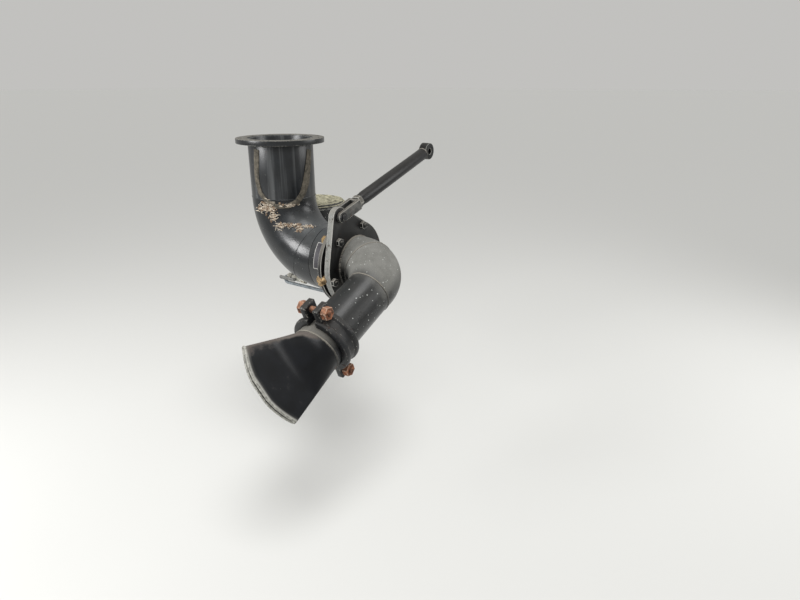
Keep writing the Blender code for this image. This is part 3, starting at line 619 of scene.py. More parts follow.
@dataclass(frozen=True)
class WeatheredMetal(Finish):
    """Steel with a coat of paint, rust or scale, under road dust that lies on what faces up."""

    paint: str                          # colour of the coat
    paint_other: str                    # its other tone, in patches
    roughness: float
    metallic: float = 0.0               # how much the coat is bare metal
    patch: float = 40 * MM              # size of the patches
    dust: str = "#8d877b"
    dust_other: str = "#6e6960"
    dust_on_top: float = 0.7            # share of dust on faces that look up
    dust_all_round: float = 0.12        # share of dust on every face
    dust_from: float = 0.1              # the normal's Z where dust starts
    dust_span: float = 0.8              # how much further that goes before dust lies thick
    worn: str = "#8a8a84"               # what shows where paint has worn off edges
    wear: float = 0.5                   # how much of an edge is worn
    rust: str = "#7a4628"
    rust_deep: str = "#3a2418"
    rust_share: float = 0.0
    specks: float = 0.0                 # share of dried water specks
    speck: str = "#c9ccc8"
    streaks: float = 0.0                # share of pale vertical streaks
    streak: str = "#77797a"
    shade_painted_from: float | None = None    # the Y beyond which the dust thins away, which paints in shade
    shine: float = 0.5                  # the paint's specular level
    grain: float = 2.0 * MM             # size of the surface's grain
    relief: float = 0.12 * MM           # depth of the grain
    dull: float = 0.9                   # roughness of dust and rust

    def look(self, graph: Graph) -> dict:
        """Lay rust, bare edges, dust, streaks and specks over the coat.

        Args:
            graph: The material's node tree.

        Returns:
            The shader's inputs.
        """
        patches = graph.noise(self.patch, 6.0)
        fine = graph.noise(self.grain, 4.0)
        coat = graph.stepped(patches, 0.35, 0.65)
        colour = graph.laid_over(linear(self.paint), linear(self.paint_other), coat)
        rusty = self.rust_mask(graph)
        rust_tone = graph.laid_over(linear(self.rust), linear(self.rust_deep), fine)
        colour = graph.laid_over(colour, rust_tone, rusty)
        colour = graph.laid_over(colour, linear(self.worn), self.wear_mask(graph))
        dusty = self.dust_mask(graph, patches, fine)
        dust_tone = graph.laid_over(linear(self.dust), linear(self.dust_other), patches)
        colour = graph.laid_over(colour, dust_tone, dusty)
        if self.streaks:
            colour = graph.laid_over(colour, linear(self.streak), self.streak_mask(graph))
        if self.specks:
            colour = graph.laid_over(colour, linear(self.speck), self.speck_mask(graph))
        dull = graph.maths("MAXIMUM", dusty, rusty)
        rough = graph.ranged(dull, self.roughness, self.dull)
        height = graph.maths("MULTIPLY_ADD", fine, 0.15, graph.maths("MULTIPLY", dull, fine))
        inputs = {
            "Base Color": colour,
            "Roughness": graph.maths("MULTIPLY_ADD", patches, 0.12, rough),
            "Specular IOR Level": self.shine,
            "Normal": graph.bump(height, self.relief * 4, 0.8),
        }
        if self.metallic:
            inputs["Metallic"] = graph.ranged(dull, self.metallic, 0.0)
        return inputs

    def rust_mask(self, graph: Graph) -> NodeSocket:
        """Return where rust has come through, in blotches about 12 mm wide."""
        edge = 0.45 * (1.0 - self.rust_share)
        return graph.stepped(graph.noise(12 * MM, 8.0, 0.7), 0.25 + edge, 0.32 + edge)

    def wear_mask(self, graph: Graph) -> NodeSocket:
        """Return where edges have lost their paint, broken up by chips about 5 mm long.

        Args:
            graph: The material's node tree.

        Returns:
            The share of bare metal.
        """
        noted = add_node(graph.tree, "ShaderNodeAttribute", {}, attribute_name=WEAR).outputs["Fac"]
        edge = 0.75 - 0.5 * self.wear
        chipped = graph.stepped(graph.noise(5 * MM, 5.0, 0.7), edge - 0.06, edge + 0.06)
        return graph.maths("MULTIPLY", noted, chipped)

    def dust_mask(self, graph: Graph, patches: NodeSocket, fine: NodeSocket) -> NodeSocket:
        """Return where dust lies.

        Args:
            graph: The material's node tree.
            patches: The noise of the large patches.
            fine: The noise of the grain.

        Returns:
            The share of dust, thick on what faces up and thin all round, and thinned outwards where shade is
            painted.
        """
        ragged = graph.maths("MULTIPLY_ADD", patches, 0.7, graph.axis(graph.space["Normal"], "Z"))
        low = self.dust_from + 0.2
        thick = graph.maths("MULTIPLY", graph.stepped(ragged, low, low + self.dust_span), self.dust_on_top)
        film = graph.maths("MULTIPLY_ADD", patches, 2 * self.dust_all_round, thick)
        share = graph.maths("MULTIPLY", film, graph.ranged(fine, 0.75, 1.15, 0.3, 0.7), clamp=True)
        # Further out along the pipe the dust thins away and leaves the enamel dark: painted shade
        if self.shade_painted_from is None:
            return share
        across = graph.axis(graph.space["Object"], "Y")
        border = graph.maths("MULTIPLY_ADD", patches, 60 * MM, across)
        kept = graph.stepped(border, self.shade_painted_from, self.shade_painted_from + 55 * MM)
        return graph.maths("MULTIPLY", share, graph.ranged(kept, 0.12, 1.0))

    def streak_mask(self, graph: Graph) -> NodeSocket:
        """Return where the pale vertical streaks lie.

        Args:
            graph: The material's node tree.

        Returns:
            The share of streaks about 9 mm wide and 300 mm long.
        """
        inputs = {"Vector": graph.space["Object"], "Scale": (1 / (9 * MM), 1 / (9 * MM), 1 / (300 * MM))}
        drawn = add_node(graph.tree, "ShaderNodeMapping", inputs).outputs["Vector"]
        inputs = {"Vector": drawn, "Scale": 1.0, "Detail": 3.0, "Roughness": 0.5}
        runs = add_node(graph.tree, "ShaderNodeTexNoise", inputs).outputs["Fac"]
        return graph.maths("MULTIPLY", graph.stepped(runs, 0.48, 0.75), self.streaks)

    def speck_mask(self, graph: Graph) -> NodeSocket:
        """Return where drops of hard water have dried to specks 1 to 3 mm wide.

        Args:
            graph: The material's node tree.

        Returns:
            The share of specks.
        """
        inputs = {"Vector": graph.space["Object"], "Scale": 1 / (9 * MM), "Randomness": 1.0}
        drops = add_node(graph.tree, "ShaderNodeTexVoronoi", inputs).outputs
        sizes = graph.maths("MULTIPLY", drops["Color"], 0.24 * self.specks)
        return graph.stepped(graph.maths("SUBTRACT", sizes, drops["Distance"]), 0.0, 0.06)


# Gloss enamel sprayed on steel pipe: nearly black, mirror-like where clean, with a thin film of dust
PIPE_ENAMEL = WeatheredMetal(
    "sprayed gloss enamel, black", "#0a0d10", "#12161a", 0.16, dust="#8b8d8c", dust_other="#5f6466",
    dust_on_top=0.30, dust_all_round=0.025, dust_from=0.30, wear=0.35, specks=0.5,
)
# The same enamel on the leg, with pale vertical streaks laid through the dust
LEG_ENAMEL = WeatheredMetal(
    "sprayed gloss enamel, streaked", "#0c0f13", "#14181d", 0.24, dust="#8b8d8c", dust_other="#5f6466",
    dust_on_top=0.30, dust_all_round=0.03, dust_from=0.30, wear=0.35, specks=0.4, streaks=0.35,
)
# The same enamel on the flange and the nozzle's neck, with more dust on top
HEAD_ENAMEL = WeatheredMetal(
    "sprayed gloss enamel, dusty", "#090c10", "#11151a", 0.20, dust="#8a877f", dust_other="#5d5b56",
    dust_on_top=0.80, dust_all_round=0.03, dust_from=0.25, wear=0.45, specks=0.35,
)
# The discharge elbow: pale dust on top where it comes out of the plate, which also paints in the light that
# falls there, and the dust thins away further out, which is painted shade
DISCHARGE_ENAMEL = WeatheredMetal(
    "sprayed gloss enamel, shade painted outwards", "#06080b", "#0c1014", 0.17, dust="#a4a39e",
    dust_other="#565650", dust_on_top=0.85, dust_all_round=0.06, dust_from=-0.10, wear=0.45,
    specks=0.9, shade_painted_from=-0.10, shine=0.4,
)
# The can's wall: the enamel has gone dull and holds dried specks
CAN_ENAMEL = WeatheredMetal(
    "dulled enamel", "#0d1012", "#181b1e", 0.40, dust="#7c786c", dust_other="#4f4d46",
    dust_on_top=0.5, dust_all_round=0.05, dust_from=0.30, specks=0.8,
)
# Flame-cut plate, thinly painted: dark and flat, with pale steel along its corners
PLATE_ENAMEL = WeatheredMetal(
    "thin enamel on flame-cut plate", "#07080a", "#0f1113", 0.36, dust="#9a968d", dust_other="#6b6760",
    dust_on_top=0.85, dust_all_round=0.025, dust_from=0.15, wear=0.9, worn="#b9b8b2", rust_share=0.15,
    shine=0.35, relief=0.3 * MM,
)
# The plate's cut edge: the torch's drag lines, bare, with rust in the pits
CUT_EDGE = WeatheredMetal(
    "flame-cut edge, bare", "#6f716f", "#8d8e8b", 0.42, metallic=0.45, patch=9 * MM, dust="#aeaba2",
    dust_other="#77746c", dust_on_top=0.6, dust_all_round=0.22, dust_from=0.2, wear=0.7,
    worn="#cdccc6", rust="#2f2620", rust_share=0.30, grain=2.2 * MM, relief=0.5 * MM,
)
# Sand-cast iron under paint: grainy, with rust in its corners
CAST_IRON = WeatheredMetal(
    "painted cast iron", "#080a0d", "#13161a", 0.32, dust="#6a665f", dust_other="#3c3834",
    dust_on_top=0.30, dust_all_round=0.03, dust_from=0.35, wear=0.33, worn="#8f8d86", rust="#4a261a",
    rust_share=0.24, shine=0.35, grain=3.0 * MM, relief=0.35 * MM,
)
# Zinc-plated steel bolts that have rusted through: brown, flaky, with paler dry faces
RUSTED_BOLT = WeatheredMetal(
    "rusted bolt steel", "#6f3f2a", "#b0714f", 0.80, metallic=0.1, patch=7 * MM, dust="#cda387",
    dust_other="#7c5440", dust_on_top=0.45, dust_all_round=0.08, wear=0.6, worn="#d0b29c",
    rust="#371d13", rust_share=0.50, grain=1.5 * MM, relief=0.35 * MM,
)
# The same bolts caked in dried ochre mud
MUDDY_BOLT = WeatheredMetal(
    "bolt under dried mud", "#6e5c40", "#ad9468", 0.90, patch=8 * MM, dust="#c8a878",
    dust_other="#7a5c38", dust_on_top=0.5, dust_all_round=0.15, wear=0.2, worn="#6f5638",
    rust="#2b1e13", rust_share=0.46, grain=1.8 * MM, relief=0.5 * MM,
)
# Bright zinc plate that is still whole, but dull
ZINC_BOLT = WeatheredMetal(
    "zinc-plated steel", "#8b8d8c", "#6c6e70", 0.40, metallic=0.9, patch=8 * MM, dust="#a39d92",
    dust_on_top=0.45, dust_all_round=0.18, wear=0.3, rust="#8c5a38", rust_share=0.15,
)
# Forged clevis: bare steel gone grey, with brown in its pits
FORGED_STEEL = WeatheredMetal(
    "forged steel, bare", "#3c3e3e", "#5c5d5c", 0.42, metallic=0.6, patch=16 * MM, dust="#8b857a",
    dust_on_top=0.5, dust_all_round=0.10, wear=0.95, worn="#b4b3ad", rust="#59402f", rust_share=0.28,
    relief=0.25 * MM,
)
# Galvanised and brass fittings gone white with corrosion
WHITE_FITTING = WeatheredMetal(
    "corroded galvanised fitting", "#8b8c85", "#d6d6cd", 0.65, metallic=0.2, patch=5 * MM,
    dust="#e2dfd4", dust_other="#8d8a80", dust_all_round=0.25, wear=0.8, worn="#eceade",
    rust="#7d5f34", rust_share=0.42, grain=1.2 * MM, relief=0.3 * MM,
)
# Satin enamel on the nozzle: black, with dust only where it faces straight up
NOZZLE_ENAMEL = WeatheredMetal(
    "sprayed satin enamel, black", "#05070a", "#0a0d12", 0.28, dust="#8b827b", dust_other="#57514c",
    dust_on_top=0.75, dust_all_round=0.005, dust_from=0.86, dust_span=0.22, wear=0.9, worn="#b3b2ab",
    specks=0.2, shine=0.25,
)
# Satin enamel on drawn tube: even and dark, with bare steel at its ends; its dust is kept thin so that it
# stays as dark as in shade, which is painted shade
STRUT_ENAMEL = WeatheredMetal(
    "satin enamel on drawn tube", "#060709", "#0c0d10", 0.33, dust="#6f6c66", dust_on_top=0.10,
    dust_all_round=0.01, dust_from=0.3, wear=0.6, specks=0.15, shine=0.3,
)
# Weld metal under paint: the bead's ripples hold dust
WELD_METAL = WeatheredMetal(
    "painted weld bead", "#131517", "#242524", 0.42, patch=10 * MM, dust="#a39d92",
    dust_other="#6d6a62", dust_on_top=0.9, dust_all_round=0.14, grain=1.5 * MM,
)


@dataclass(frozen=True)
class DullStuff(Finish):
    """Something matt that is one stuff through and through, such as rubber, straw or dried mud."""

    dark: str           # its darker tone
    light: str          # its lighter tone
    roughness: float
    patch: float        # size of the tones' patches
    relief: float       # depth of its grain

    def look(self, graph: Graph) -> dict:
        """Mix the two tones in patches that are also its grain.

        Args:
            graph: The material's node tree.

        Returns:
            The shader's inputs.
        """
        tones = graph.noise(self.patch, 5.0, 0.65)
        share = graph.stepped(tones, 0.3, 0.7)
        return {
            "Base Color": graph.laid_over(linear(self.dark), linear(self.light), share),
            "Roughness": self.roughness,
            "Normal": graph.bump(tones, self.relief, 0.7),
        }


# Nitrile seal, black and matt
SEAL_RUBBER = DullStuff("nitrile rubber", "#08090a", "#141516", 0.75, 6 * MM, 0.1 * MM)
# Dry straw, split and bleached
STRAW = DullStuff("dry straw", "#9d8d7b", "#e6dccb", 0.85, 5 * MM, 0.2 * MM)
# Dried road mud, pale and crumbly
DRIED_MUD = DullStuff("dried road mud", "#5c4c3d", "#a08a74", 0.95, 4 * MM, 0.8 * MM)
# Ochre mud that a wheel has thrown up
OCHRE_MUD = DullStuff("dried ochre mud", "#57452e", "#c9ab80", 0.95, 9 * MM, 1.2 * MM)
# The can's lid: chalky paint with pale lichen in patches
LICHEN = DullStuff("chalky lid with lichen", "#4b493c", "#c6c1a4", 0.9, 9 * MM, 0.4 * MM)
# Old strap under road dust
DUSTY_STRAP = DullStuff("dusty strap", "#39362f", "#6f685b", 0.85, 9 * MM, 0.4 * MM)
# Bare steel lips, scoured by grit
SCOURED_STEEL = DullStuff("scoured steel", "#6c6b65", "#aeada5", 0.55, 7 * MM, 0.2 * MM)
# Nylon air tube, chalky grey
GREY_TUBE = DullStuff("chalky nylon tube", "#5f666b", "#8d959a", 0.50, 14 * MM, 0.1 * MM)
# Blank foil label, weathered dark
LABEL_FOIL = DullStuff("weathered foil", "#221f25", "#3c3a40", 0.55, 5 * MM, 0.1 * MM)
# The label's bare edge, which has kept its pale ground
LABEL_EDGE = DullStuff("foil edge", "#8b8987", "#b9b7b3", 0.6, 3 * MM, 0.1 * MM)


def piece(
    name: str, work: BMesh, finish: Finish, body: Body, slot: Slot, *stands_for: str, angle: float = 35.0,
) -> Object:
    """Finish a shape as a piece of the scene.

    Args:
        name: The piece's name.
        work: Its shape, which is freed.
        finish: What it is dressed in.
        body: The body that it rides on.
        slot: The record's slot that it would take its finish from; it is not used.
        stands_for: The solids that it stands for.
        angle: Edges that turn more than this, in degrees, stay sharp.

    Returns:
        The piece.
    """
    mesh = mesh_of(work, name)
    mesh.materials.append(finish.material())
    mesh.shade_smooth()
    mesh.set_sharp_from_angle(angle=math.radians(angle))
    made = shown(name, mesh)
    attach(made, body.value)
    if stands_for:
        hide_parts(*stands_for)
    LOG.info("%s: %d faces on %s", name, len(mesh.polygons), body.value)
    return made


def refinish(made: Object, finish: Finish, chosen: Callable[[MeshPolygon], bool]) -> None:
    """Give some of a piece's faces a finish of their own.

    Args:
        made: The piece.
        finish: What those faces are dressed in.
        chosen: Says whether a face takes it.
    """
    made.data.materials.append(finish.material())
    for face in made.data.polygons:
        if chosen(face):
            face.material_index = len(made.data.materials) - 1


@dataclass
class WeldBead:
    """A bead of weld round a joint, laid in short steps that leave ripples."""

    place: Matrix                # frame at the joint, its local Z along the pipe
    radius: float                # the pipe's outside radius there
    size: float                  # radius of the bead's section
    pitch: float = 4.0 * MM      # length of one ripple
    steps_each: int = 4          # steps round for one ripple

    def shape(self) -> BMesh:
        """Return the bead's shape.

        Returns:
            A ring whose section swells and wanders a little.
        """
        ripples = round(2 * math.pi * self.radius / self.pitch)
        centre = self.radius - 0.35 * self.size
        section = circle((centre, 0.0), self.size, 10)
        work = spun(section, Matrix(), ripples * self.steps_each, closed=True)
        for vert in work.verts:
            turn = math.atan2(vert.co.y, vert.co.x)
            wander = noise.noise(Vector((math.cos(turn), math.sin(turn), self.radius)) * 9)
            swell = 0.86 + 0.14 * abs(math.sin(turn * ripples / 2)) + 0.10 * wander
            middle = Vector((math.cos(turn), math.sin(turn), 0.0)) * centre
            vert.co = middle + (vert.co - middle) * swell
            vert.co.z += 0.25 * self.size * wander
        return moved(work, self.place)


@dataclass
class Fastener:
    """A hexagon bolt through a joint, with its nut and its threaded ends."""

    place: Matrix            # frame in the middle of the joint, its local Z along the bolt
    reach: float             # thickness of what it clamps
    shank: float             # the shank's radius
    flats: float             # half the hexagon's width across its flats
    thick: float             # the hexagon's thickness
    end: float = 4 * MM      # how far the shank stands out past each hexagon

    def head(self, height: float) -> BMesh:
        """Return a hexagon whose middle is at that height."""
        place = self.place @ Matrix.Translation((0, 0, height))
        return hexagon(self.flats, self.thick, place, 0.09 * self.flats)

    def threaded(self, low: float, high: float) -> BMesh:
        """Return a threaded stretch of the shank between two heights.

        Args:
            low: Where it starts.
            high: Where it ends.

        Returns:
            The stretch.
        """
        turns = max(2, round((high - low) / (0.3 * self.shank)))
        foot = (0.88 * self.shank, 0.1 * MM)
        return spun(thread(low, high, turns, self.shank, 0.8 * self.shank, foot), self.place, 32)

    def shape(self) -> BMesh:
        """Return the whole fastener.

        Returns:
            The shank, both hexagons and both threaded ends in one shape.
        """
        half = self.reach / 2
        middle = half + self.thick / 2
        outer = half + self.thick + self.end
        return merged(
            self.head(middle), self.head(-middle), rod(self.shank, -half, half, self.place, 32),
            self.threaded(half, outer), self.threaded(-outer, -half),
        )


@dataclass
class SupplySide:
    """The pipe that stays still: flange, leg, short elbow and swivel sleeve, and the can behind."""

    radius: float = 84.15 * MM
    wall: float = 7.1 * MM
    leg_length: float = 150.0 * MM
    leg_setback: float = 2.0 * MM
    bend: float = 152.4 * MM
    bend_steps: int = 40
    elbow_seam: float = 0.79         # where the elbow's seam lies, as a share of its turn
    flange_radius: float = 114.3 * MM
    flange_thick: float = 12.7 * MM
    bolt_circle: float = 103.2 * MM
    bolt_hole: float = 5.6 * MM
    bolts: int = 12
    sleeve_radius: float = 86.2 * MM
    sleeve_length: float = 64.0 * MM
    collar_radius: float = 92.5 * MM
    collar_thick: float = 10.0 * MM
    seal_groove: float = 4.0 * MM
    seal_depth: float = 2.5 * MM
    can_lid_step: float = 6.0 * MM
    can_wall_set: float = 1.5 * MM   # how far the can's wall stands in from its rims
    label_turn: float = 160.0

    def bend_place(self, share: float) -> Matrix:
        """Return the frame on the elbow's centre line.

        Args:
            share: How far along the elbow's quarter turn it is, from 0 to 1.

        Returns:
            The frame, its local Z along the flow.
        """
        turn = math.pi / 2 * share
        centre = Vector((self.bend, 0, -self.leg_length))
        spot = centre + Vector((-self.bend * math.cos(turn), 0, -self.bend * math.sin(turn)))
        return axis_frame(spot, (math.sin(turn), 0, -math.cos(turn)), INWARD)

    def sleeve_place(self) -> Matrix:
        """Return the frame where the sleeve starts, its local Z along the run."""
        return axis_frame((self.bend, 0, RUN.z), ALONG)

    def leg(self) -> None:
        """Build the straight leg."""
        places = [axis_frame((0, 0, -height), DOWN, INWARD) for height in (self.leg_setback, self.leg_length)]
        work = soften(pipe(places, [self.radius] * 2, self.wall), 0.8 * MM, 2, PIPE_ANGLE)
        piece("supply_leg_pipe", work, LEG_ENAMEL, Body.SUPPLY, Slot.PIPE_BLACK, "supply_leg")

    def flange(self) -> None:
        """Build the bolted flange at the top, with the fillet weld under it."""
        outlines = [circle((0, 0), self.flange_radius), circle((0, 0), self.radius + FIT)]
        for spot in circle((0, 0), self.bolt_circle, self.bolts):
            outlines.append(circle(spot, self.bolt_hole, 32))
        middle = Matrix.Translation((0, 0, -self.flange_thick / 2))
        work = soften(plate(outlines, self.flange_thick, middle), 1.0 * MM)
        piece("inlet_flange_ring", work, HEAD_ENAMEL, Body.SUPPLY, Slot.DUSTY_PAINT, "inlet_flange")
        bead = WeldBead(Matrix.Translation((0, 0, -self.flange_thick)), self.radius, 5.0 * MM)
        piece("inlet_flange_weld", bead.shape(), WELD_METAL, Body.SUPPLY, Slot.DUSTY_PAINT)

    def elbow(self) -> None:
        """Build the short elbow, with the seams at its start and near its end."""
        places = [self.bend_place(step / self.bend_steps) for step in range(self.bend_steps + 1)]
        work = pipe(places, [self.radius] * len(places), self.wall)
        piece(
            "supply_elbow_pipe", work, PIPE_ENAMEL, Body.SUPPLY, Slot.PIPE_BLACK, "supply_elbow",
            angle=PIPE_ANGLE,
        )
        for name, share, size in (("leg_seam", 0.0, 1.4 * MM), ("elbow_seam", self.elbow_seam, 1.2 * MM)):
            bead = WeldBead(self.bend_place(share), self.radius, size, 5.0 * MM)
            piece(name, bead.shape(), PIPE_ENAMEL, Body.SUPPLY, Slot.PIPE_BLACK)

    def sleeve(self) -> None:
        """Build the sleeve that the head turns on, and the seal in the groove at its start."""
        bore = self.radius - self.wall
        end = self.sleeve_length + self.collar_thick
        floor = self.radius - self.seal_depth
        profile = [
            (self.collar_radius, end), (self.collar_radius, self.sleeve_length),
            (self.sleeve_radius, self.sleeve_length), (self.sleeve_radius, self.seal_groove),
            (floor, self.seal_groove), (floor, FIT), (bore, FIT), (bore, end),
        ]
        place = self.sleeve_place()
        work = soften(spun(profile, place, closed=True), 0.8 * MM, 2)
        piece("swivel_sleeve_body", work, PIPE_ENAMEL, Body.SUPPLY, Slot.PIPE_BLACK, "swivel_sleeve")
        room = 0.1 * MM
        seal = hoop(floor + room, self.radius - 0.4 * MM, FIT + room, self.seal_groove - room, place)
        piece("swivel_seal", seal, SEAL_RUBBER, Body.SUPPLY, Slot.PIPE_BLACK)

    def label(self) -> None:
        """Build the blank label on the sleeve, a thin foil that follows its curve."""
        # Name, both ends along the run, half its spread in degrees, how proud it stands, finish
        spans = (
            ("label_edge", 19.0 * MM, 41.0 * MM, 23.0, 0.25 * MM, LABEL_EDGE),
            ("label_face", 21.0 * MM, 39.0 * MM, 21.5, 0.45 * MM, LABEL_FOIL),
        )
        for name, low, high, spread, proud, finish in spans:
            work = bmesh.new()
            start = Vector((self.sleeve_radius + proud, 0.0, low))
            wired(work, [start, start + Vector((0, 0, high - low))], False)
            moved(work, Matrix.Rotation(math.radians(self.label_turn - spread), 4, "Z"))
            turned(work, math.radians(2 * spread), 24, False)
            bmesh.ops.solidify(work, geom=work.faces[:], thickness=0.15 * MM)
            piece(name, facing_out(work, self.sleeve_place()), finish, Body.SUPPLY, Slot.PIPE_BLACK)

    def can(self) -> None:
        """Build the upright can behind the elbow, with its stepped lid and rolled foot."""
        low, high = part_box("pressure_can")
        radius = (high.x - low.x) / 2
        middle = (low + high) / 2
        foot = low.z - high.z
        lid = radius - self.can_lid_step
        wall = radius - self.can_wall_set
        profile = [
            (0.0, -1.5 * MM), (0.55 * lid, -1.0 * MM), (lid - 5 * MM, -1.0 * MM), (lid - 2 * MM, 0.0),
            (lid, 0.0), (lid, -self.can_lid_step), (radius, -self.can_lid_step),
            (radius, -self.can_lid_step - 6 * MM), (wall, -self.can_lid_step - 8 * MM),
            (wall, foot + 10 * MM), (radius, foot + 8 * MM), (radius, foot), (0.0, foot),
        ]
        work = soften(spun(profile, Matrix.Translation((middle.x, middle.y, high.z))), 1.2 * MM)
        shell = piece(
            "pressure_can_shell", work, CAN_ENAMEL, Body.SUPPLY, Slot.PIPE_BLACK, "pressure_can",
        )
        refinish(shell, LICHEN, lambda face: face.normal.z > 0.6)

    def gusset(self) -> None:
        """Give the gusset that carries the can its finish."""
        frame["nodes"]["can_gusset"].data.materials.clear()
        frame["nodes"]["can_gusset"].data.materials.append(PLATE_ENAMEL.material())

    def build(self) -> None:
        """Build the whole supply side."""
        for part in (self.leg, self.flange, self.elbow, self.sleeve, self.label, self.can, self.gusset):
            part()


@dataclass
class DrainCock:
    """The small cock under the elbow: boss, body with its hexagons, lever and tube."""

    boss_radius: float = 12.0 * MM
    neck_flats: float = 9.0 * MM
    body_radius: float = 9.0 * MM
    end_flats: float = 10.0 * MM
    end_length: float = 14.0 * MM
    stem_radius: float = 3.5 * MM
    stem_inset: float = 6.0 * MM
    lever_thick: float = 3.0 * MM
    lever_width: float = 10.0 * MM
    tube_radius: float = 4.5 * MM
    tube_wall: float = 1.0 * MM
    tube_bend: float = 9.5 * MM

    def boss(self) -> None:
        """Build the boss that is welded under the elbow."""
        low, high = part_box("drain_boss")
        middle = (low + high) / 2
        place = Matrix.Translation((middle.x, middle.y, low.z))
        work = soften(rod(self.boss_radius, 0.0, high.z - low.z, place, 40), 1.2 * MM)
        piece("drain_boss_body", work, CAST_IRON, Body.SUPPLY, Slot.DUSTY_PAINT, "drain_boss")

    def cock(self) -> None:
        """Build the cock's body with a hexagon at each end and one under the boss."""
        low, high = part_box("drain_cock")
        height = low.z + self.body_radius + 2.5 * MM
        place = axis_frame((low.x, 0, height), ALONG)
        length = high.x - low.x
        half = [
            (0.0, 0.5 * MM), (self.body_radius - 1 * MM, 0.5 * MM),
            (self.body_radius - 1 * MM, self.end_length),
            (self.body_radius - 2 * MM, self.end_length + 2 * MM),
            (self.body_radius, self.end_length + 7 * MM),
        ]
        profile = half + [(radius, length - along) for radius, along in reversed(half)]
        parts = [spun(profile, place, 32)]
        for middle in (self.end_length / 2, length - self.end_length / 2):
            spot = place @ Matrix.Translation((0, 0, middle))
            parts.append(hexagon(self.end_flats, self.end_length, spot, 0.9 * MM))
        top = high.z - height
        spot = Matrix.Translation(((low.x + high.x) / 2, 0, height + top / 2))
        parts.append(hexagon(self.neck_flats, top, spot, 0.8 * MM))
        work = roughened(merged(*parts), 0.3 * MM, 4 * MM, SEED + 30)
        piece("drain_cock_body", work, WHITE_FITTING, Body.SUPPLY, Slot.WORN_STEEL, "drain_cock")

    def lever(self) -> None:
        """Build the lever handle with the stem that it turns on."""
        low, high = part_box("drain_lever")
        level = (low.z + high.z) / 2
        place = axis_frame(((low.x + high.x) / 2, low.y + self.lever_thick / 2, level), (0, -1, 0))
        reach = self.lever_width / 2
        half = (high.x - low.x) / 2 - reach
        outline = arc((half, 0.0), reach, -math.pi / 2, math.pi, 16)
        outline += arc((-half, 0.0), reach, math.pi / 2, math.pi, 16)
        work = soften(plate([outline], self.lever_thick, place), 0.6 * MM, 2)
        stem_place = axis_frame((high.x - self.stem_inset, high.y, level), (0, -1, 0))
        stem = rod(self.stem_radius, 0.0, high.y - low.y + 2.0 * MM, stem_place, 24)
        work = merged(work, soften(stem, 0.5 * MM, 2))
        piece("drain_lever_body", work, ZINC_BOLT, Body.SUPPLY, Slot.RUSTY_STEEL, "drain_lever")

    def tube(self) -> None:
        """Build the tube that turns under the cock and runs off along the pipe."""
        low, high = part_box("drain_tube")
        top = high.z - self.tube_radius
        centre = (low.x + self.tube_bend + self.tube_radius, top - self.tube_bend)
        bend = arc(centre, self.tube_bend, math.pi / 2, math.pi, 20)
        headings = [(-y, x) for x, y in arc((0.0, 0.0), 1.0, math.pi / 2, math.pi, 20)]
        spots = [(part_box("drain_cock")[0].x - FIT, top), *bend, (high.x, top - 2 * self.tube_bend)]
        headings = [(-1, 0), *headings, (1, 0)]
        places = [
            axis_frame((x, 0, z), (along, 0, up), INWARD)
            for (x, z), (along, up) in zip(spots, headings)
        ]
        work = pipe(places, [self.tube_radius] * len(places), self.tube_wall, 28)
        piece(
            "drain_tube_run", work, GREY_TUBE, Body.SUPPLY, Slot.WORN_STEEL, "drain_tube", angle=PIPE_ANGLE,
        )

    def build(self) -> None:
        """Build the whole drain cock."""
        for part in (self.boss, self.cock, self.lever, self.tube):
            part()


